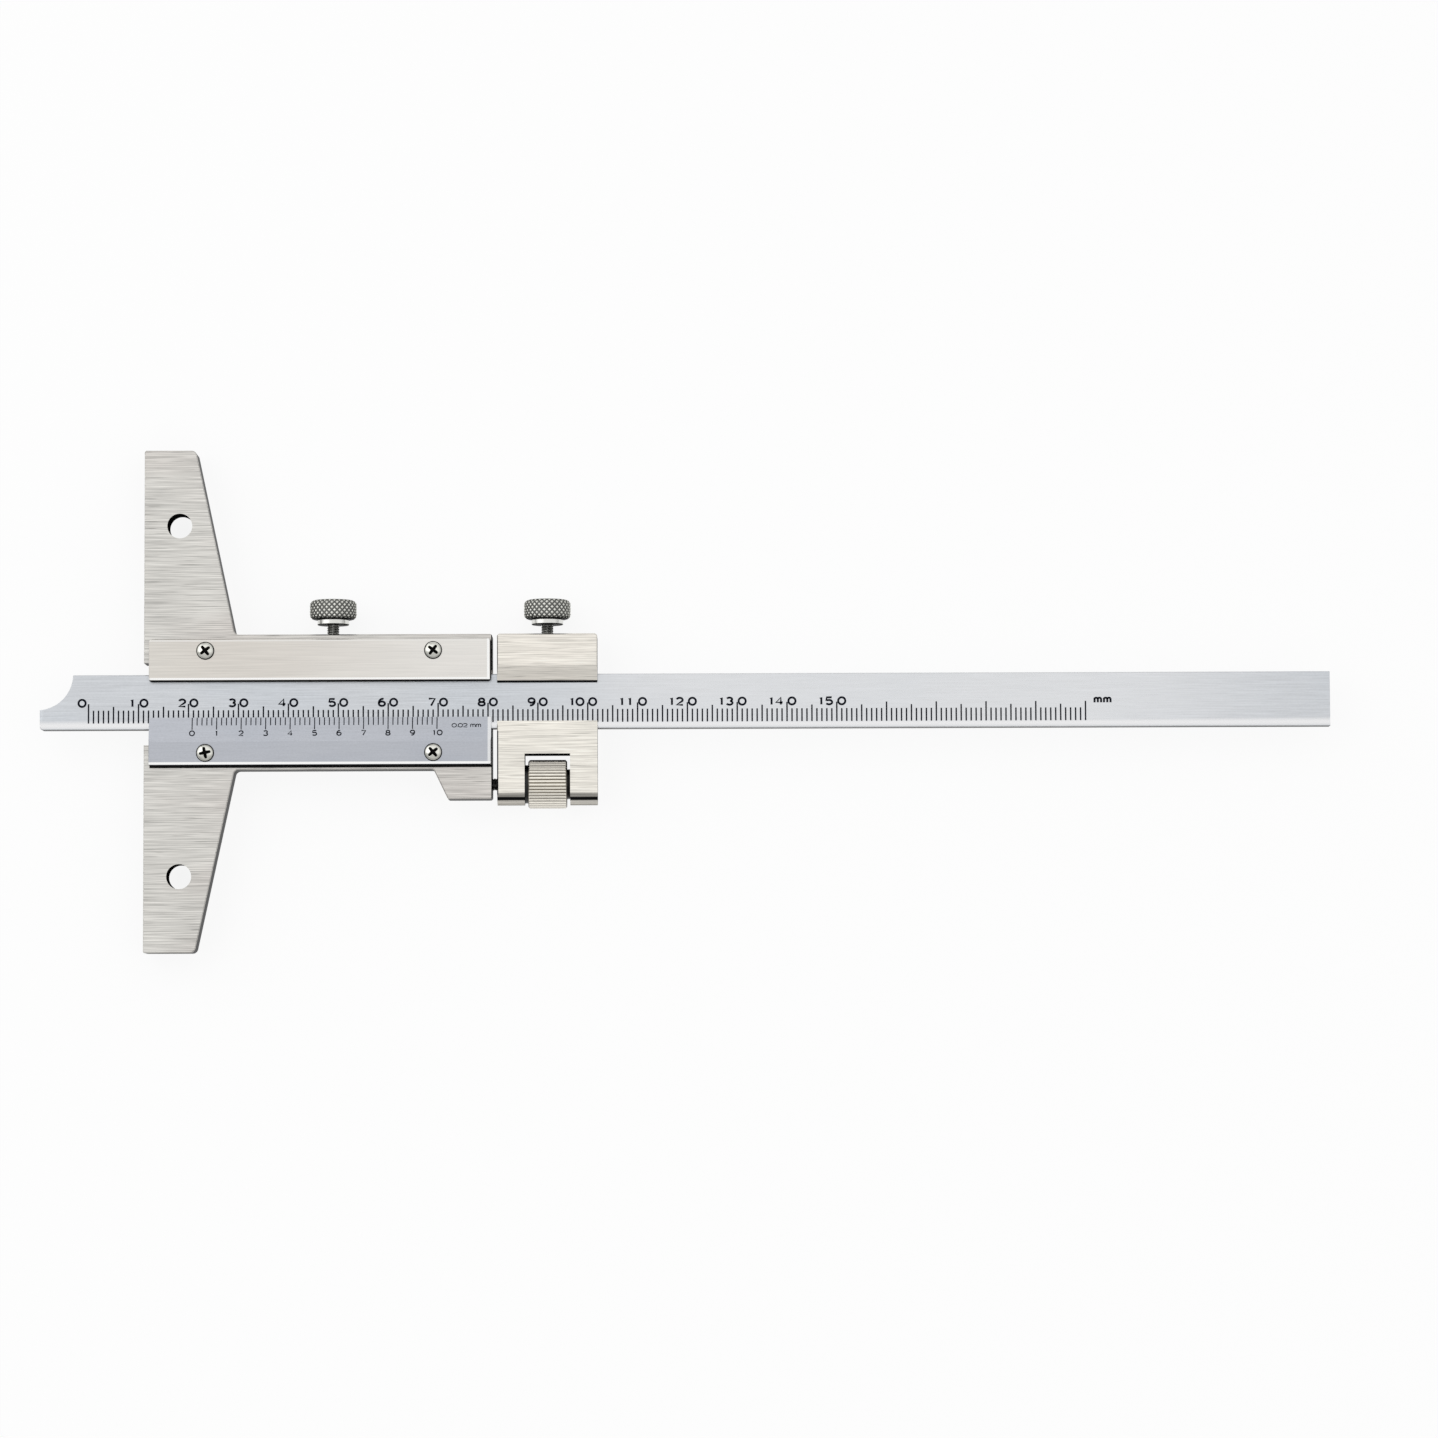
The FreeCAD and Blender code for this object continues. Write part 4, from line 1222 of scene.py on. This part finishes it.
@dataclass
class Gauge:
    """Every finish and piece of the depth gauge."""

    hole_radius: float = 2.5
    hub_length: float = 0.6             # of the fine-adjusting nut

    def in_hole(self, middle: Vector) -> bool:
        """Whether a wall face of the base lies in one of its two holes, as the record places them."""
        mount = next(each for each in frame["record"]["mounts"] if each["name"] == "holder_holes")
        across, along = (place / MM for place in mount["pos_m"][:2])
        spread = mount["dims"]["spacing_y_mm"] / 2
        away = math.hypot(middle.x - across, abs(middle.y - along) - spread)
        return away < self.hole_radius * 1.02

    def ground_pieces(self) -> None:
        """Builds the ground and chromed pieces."""
        front = Slab(Axis.Z, 6.2, 9.0)
        rim = Slab(Axis.Z, 7.25, 9.0, 0.15)
        under_plate = Slab(Axis.X, 1.2, 72.0, 0.04, 1.0, front)
        # Painted shadows on the base: near black below the vernier plate's lower edge and in the gap at its
        # right end.
        body = Steel("ground_base", shade(213, 211, 206), shade(208, 204, 199), line=1.4, scratch=0.3,
                     line_length=10.0, line_width=0.19,
                     grimy=(Slab(Axis.Y, -13.2, -12.7, 0.04, 1.0, under_plate),
                            Slab(Axis.X, 69.6, 69.95, 0.04, 1.0, front)))
        # Painted highlights on the cover: bright strips along its lower edge, top edge and right end, and a
        # brighter stretch along X; painted shadows: near black along its lower and right edges.
        cover = Steel("satin_cover", shade(220, 216, 209), shade(217, 212, 205), line=0.35, scratch=0.04,
                      line_length=12.0, line_width=0.22,
                      polished=(Slab(Axis.Y, 4.4, 4.8), Slab(Axis.Y, 12.1, 12.45, 0.05, 0.4),
                                Slab(Axis.X, 68.8, 69.3), Slab(Axis.X, 42.0, 95.0, 28.0, 0.34)),
                      grimy=(Slab(Axis.Y, 3.7, 4.36, 0.05, 1.0, rim),
                             Slab(Axis.X, 69.38, 69.9, 0.05, 1.0, rim)))
        # Painted shadow on the vernier plate: near black along its lower edge; painted highlights: a bright
        # strip just above it and one at its right end.
        vernier = Steel("chromed_vernier", shade(186, 189, 196), shade(181, 185, 193), line=0.2,
                        scratch=0.0, speck=0.25, grimy=(Slab(Axis.Y, -13.2, -12.62, 0.05, 1.0, rim),),
                        polished=(Slab(Axis.Y, -12.58, -12.1), Slab(Axis.X, 68.9, 69.6, 0.05, 0.6)))
        # Painted highlights on the blade: a brighter strip below the scale and a brighter middle stretch
        # along X.
        blade = Steel("chromed_blade", shade(209, 212, 216), shade(205, 209, 214), line=0.45,
                      scratch=0.0, speck=0.2, edge=shade(238, 238, 239),
                      polished=(Slab(Axis.Y, -5.3, -4.0, 0.6, 1.0), Slab(Axis.X, 88.0, 215.0, 26.0, 0.5)))
        legs = Slab(Axis.Y, -30.0, -6.0, 0.05, 1.0, rim)
        # Painted shadows on the carriage: near black along its upper lip's lower edge, at its left end and in
        # a band round its rounded lower end, fainter beside that band, and a faint darkening over its upper
        # bevel.
        carriage = Steel("ground_carriage", shade(239, 235, 226), shade(237, 232, 223), line=1.1,
                         scratch=0.22, line_length=8.0, line_width=0.17,
                         grimy=(Slab(Axis.Y, 3.6, 4.18), Slab(Axis.X, 70.7, 70.96, 0.04, 0.7, rim),
                                Slab(Axis.X, 70.7, 71.04, 0.04, 1.0, legs),
                                Slab(Axis.Y, 4.1, 7.2, 0.04, 0.13, front),
                                Slab(Axis.Y, -19.95, -19.2, 0.15, 1.0),
                                Slab(Axis.Y, -19.3, -18.6, 0.25, 0.55),
                                Slab(Axis.Y, -21.5, -19.9, 0.1, 0.25)))
        pieces = (
            # the walls of the base's holes are painted near black as shade
            GroundPiece("base_body", "slider", "brushed_body", body, is_bore=self.in_hole),
            GroundPiece("cover_plate", "slider", "satin_plate", cover,
                        is_broad=lambda at: at.z > 7.7 and (at.y < 4.5 or at.x > 69.0),
                        shift=EdgeShift(4.0, 5.0, -0.32)),
            GroundPiece("vernier_plate", "slider", "satin_chrome", vernier,
                        is_broad=lambda at: at.z > 7.7 and at.y < -12.7,
                        shift=EdgeShift(-12.7, -11.95, -0.32)),
            GroundPiece("blade", "blade", "satin_chrome", blade),
            # the walls of the nut's window are painted near black as shade
            GroundPiece("carriage_body", "carriage", "brushed_carriage", carriage, edge=0.14,
                        is_bore=lambda at: 75.0 < at.x < 87.0 and at.y < -9.0,
                        shift=EdgeShift(4.0, 4.4, -0.38)),
        )
        for piece in pieces:
            log.info("%s built", piece.build().name)

    def dress(self, node: str, material: bpy.types.Material) -> None:
        """Puts one material on every slot of a CAD node."""
        slots = frame["nodes"][node].data.materials
        slots.clear()
        slots.append(material)

    def small_pieces(self) -> None:
        """Gives the nut, its washer and the inner pieces their finish."""
        low, high = node_box("fine_adjust_nut")
        nut = Fluted("fluted_nut", shade(246, 241, 230), shade(100, 95, 87),
                     ((low[1] + high[1]) / 2, (low[2] + high[2]) / 2), (high[1] - low[1]) / 2,
                     high[0] - self.hub_length).material()
        dark = Turned("black_oxide", shade(52, 52, 52), Axis.X, 0.32).material()
        brass = Turned("bronze_strip", shade(190, 156, 96), Axis.Y, 0.3).material()
        for node, material in (("fine_adjust_nut", nut), ("nut_washer", dark), ("lock_pin", dark),
                               ("gib_set_screw_near", dark), ("gib_set_screw_far", dark),
                               ("slider_gib", brass), ("carriage_gib", brass)):
            self.dress(node, material)
            log.info("%s dressed", node)

    def screws(self) -> None:
        """Builds both clamp screws, the plates' screws and the adjusting rod."""
        knurl = Knurl("knurled_head", shade(246, 246, 238), shade(96, 97, 95)).material()
        collar = Turned("turned_collar", shade(226, 226, 222), Axis.Y, 0.22, 0.06, 0.1).material()
        thread = Turned("dark_thread", shade(188, 188, 184), Axis.Y, 0.25).material()
        # painted shade: near black on the collar's end rings and under face
        dark = Turned("painted_shade_groove", shade(30, 30, 30), Axis.Y, 0.5).material()
        for node, body in (("slider_clamp_screw", "slider_clamp"),
                           ("carriage_clamp_screw", "carriage_clamp")):
            log.info("%s built", ClampScrew(node, body, knurl, collar, thread, dark).build().name)
        head = ScrewHead("plated_head", shade(238, 238, 230), shade(20, 20, 20)).material()
        for node, turn in (("plate_screw_left_upper", 38), ("plate_screw_right_upper", 52),
                           ("plate_screw_left_lower", 12), ("plate_screw_right_lower", 40)):
            log.info("%s built", PlateScrew(node, head, thread, turn).build().name)
        rod = Turned("rod_thread", shade(120, 120, 118), Axis.X, 0.3).material()
        log.info("%s built", AdjustingRod("fine_adjust_screw", rod).build().name)

    def scales(self) -> None:
        """Engraves the two scales."""
        ink = Ink("scale_ink", shade(26, 28, 36)).material()
        for scale in (MainScale(ink), VernierScale(ink)):
            log.info("%s built", scale.build().name)


def main() -> None:
    """Builds the gauge and its studio in order."""
    logging.basicConfig(level=logging.INFO, format="%(name)s: %(message)s")
    gauge = Gauge()
    gauge.ground_pieces()
    gauge.small_pieces()
    gauge.screws()
    gauge.scales()
    Studio().build()


if __name__ == "__main__":
    main()
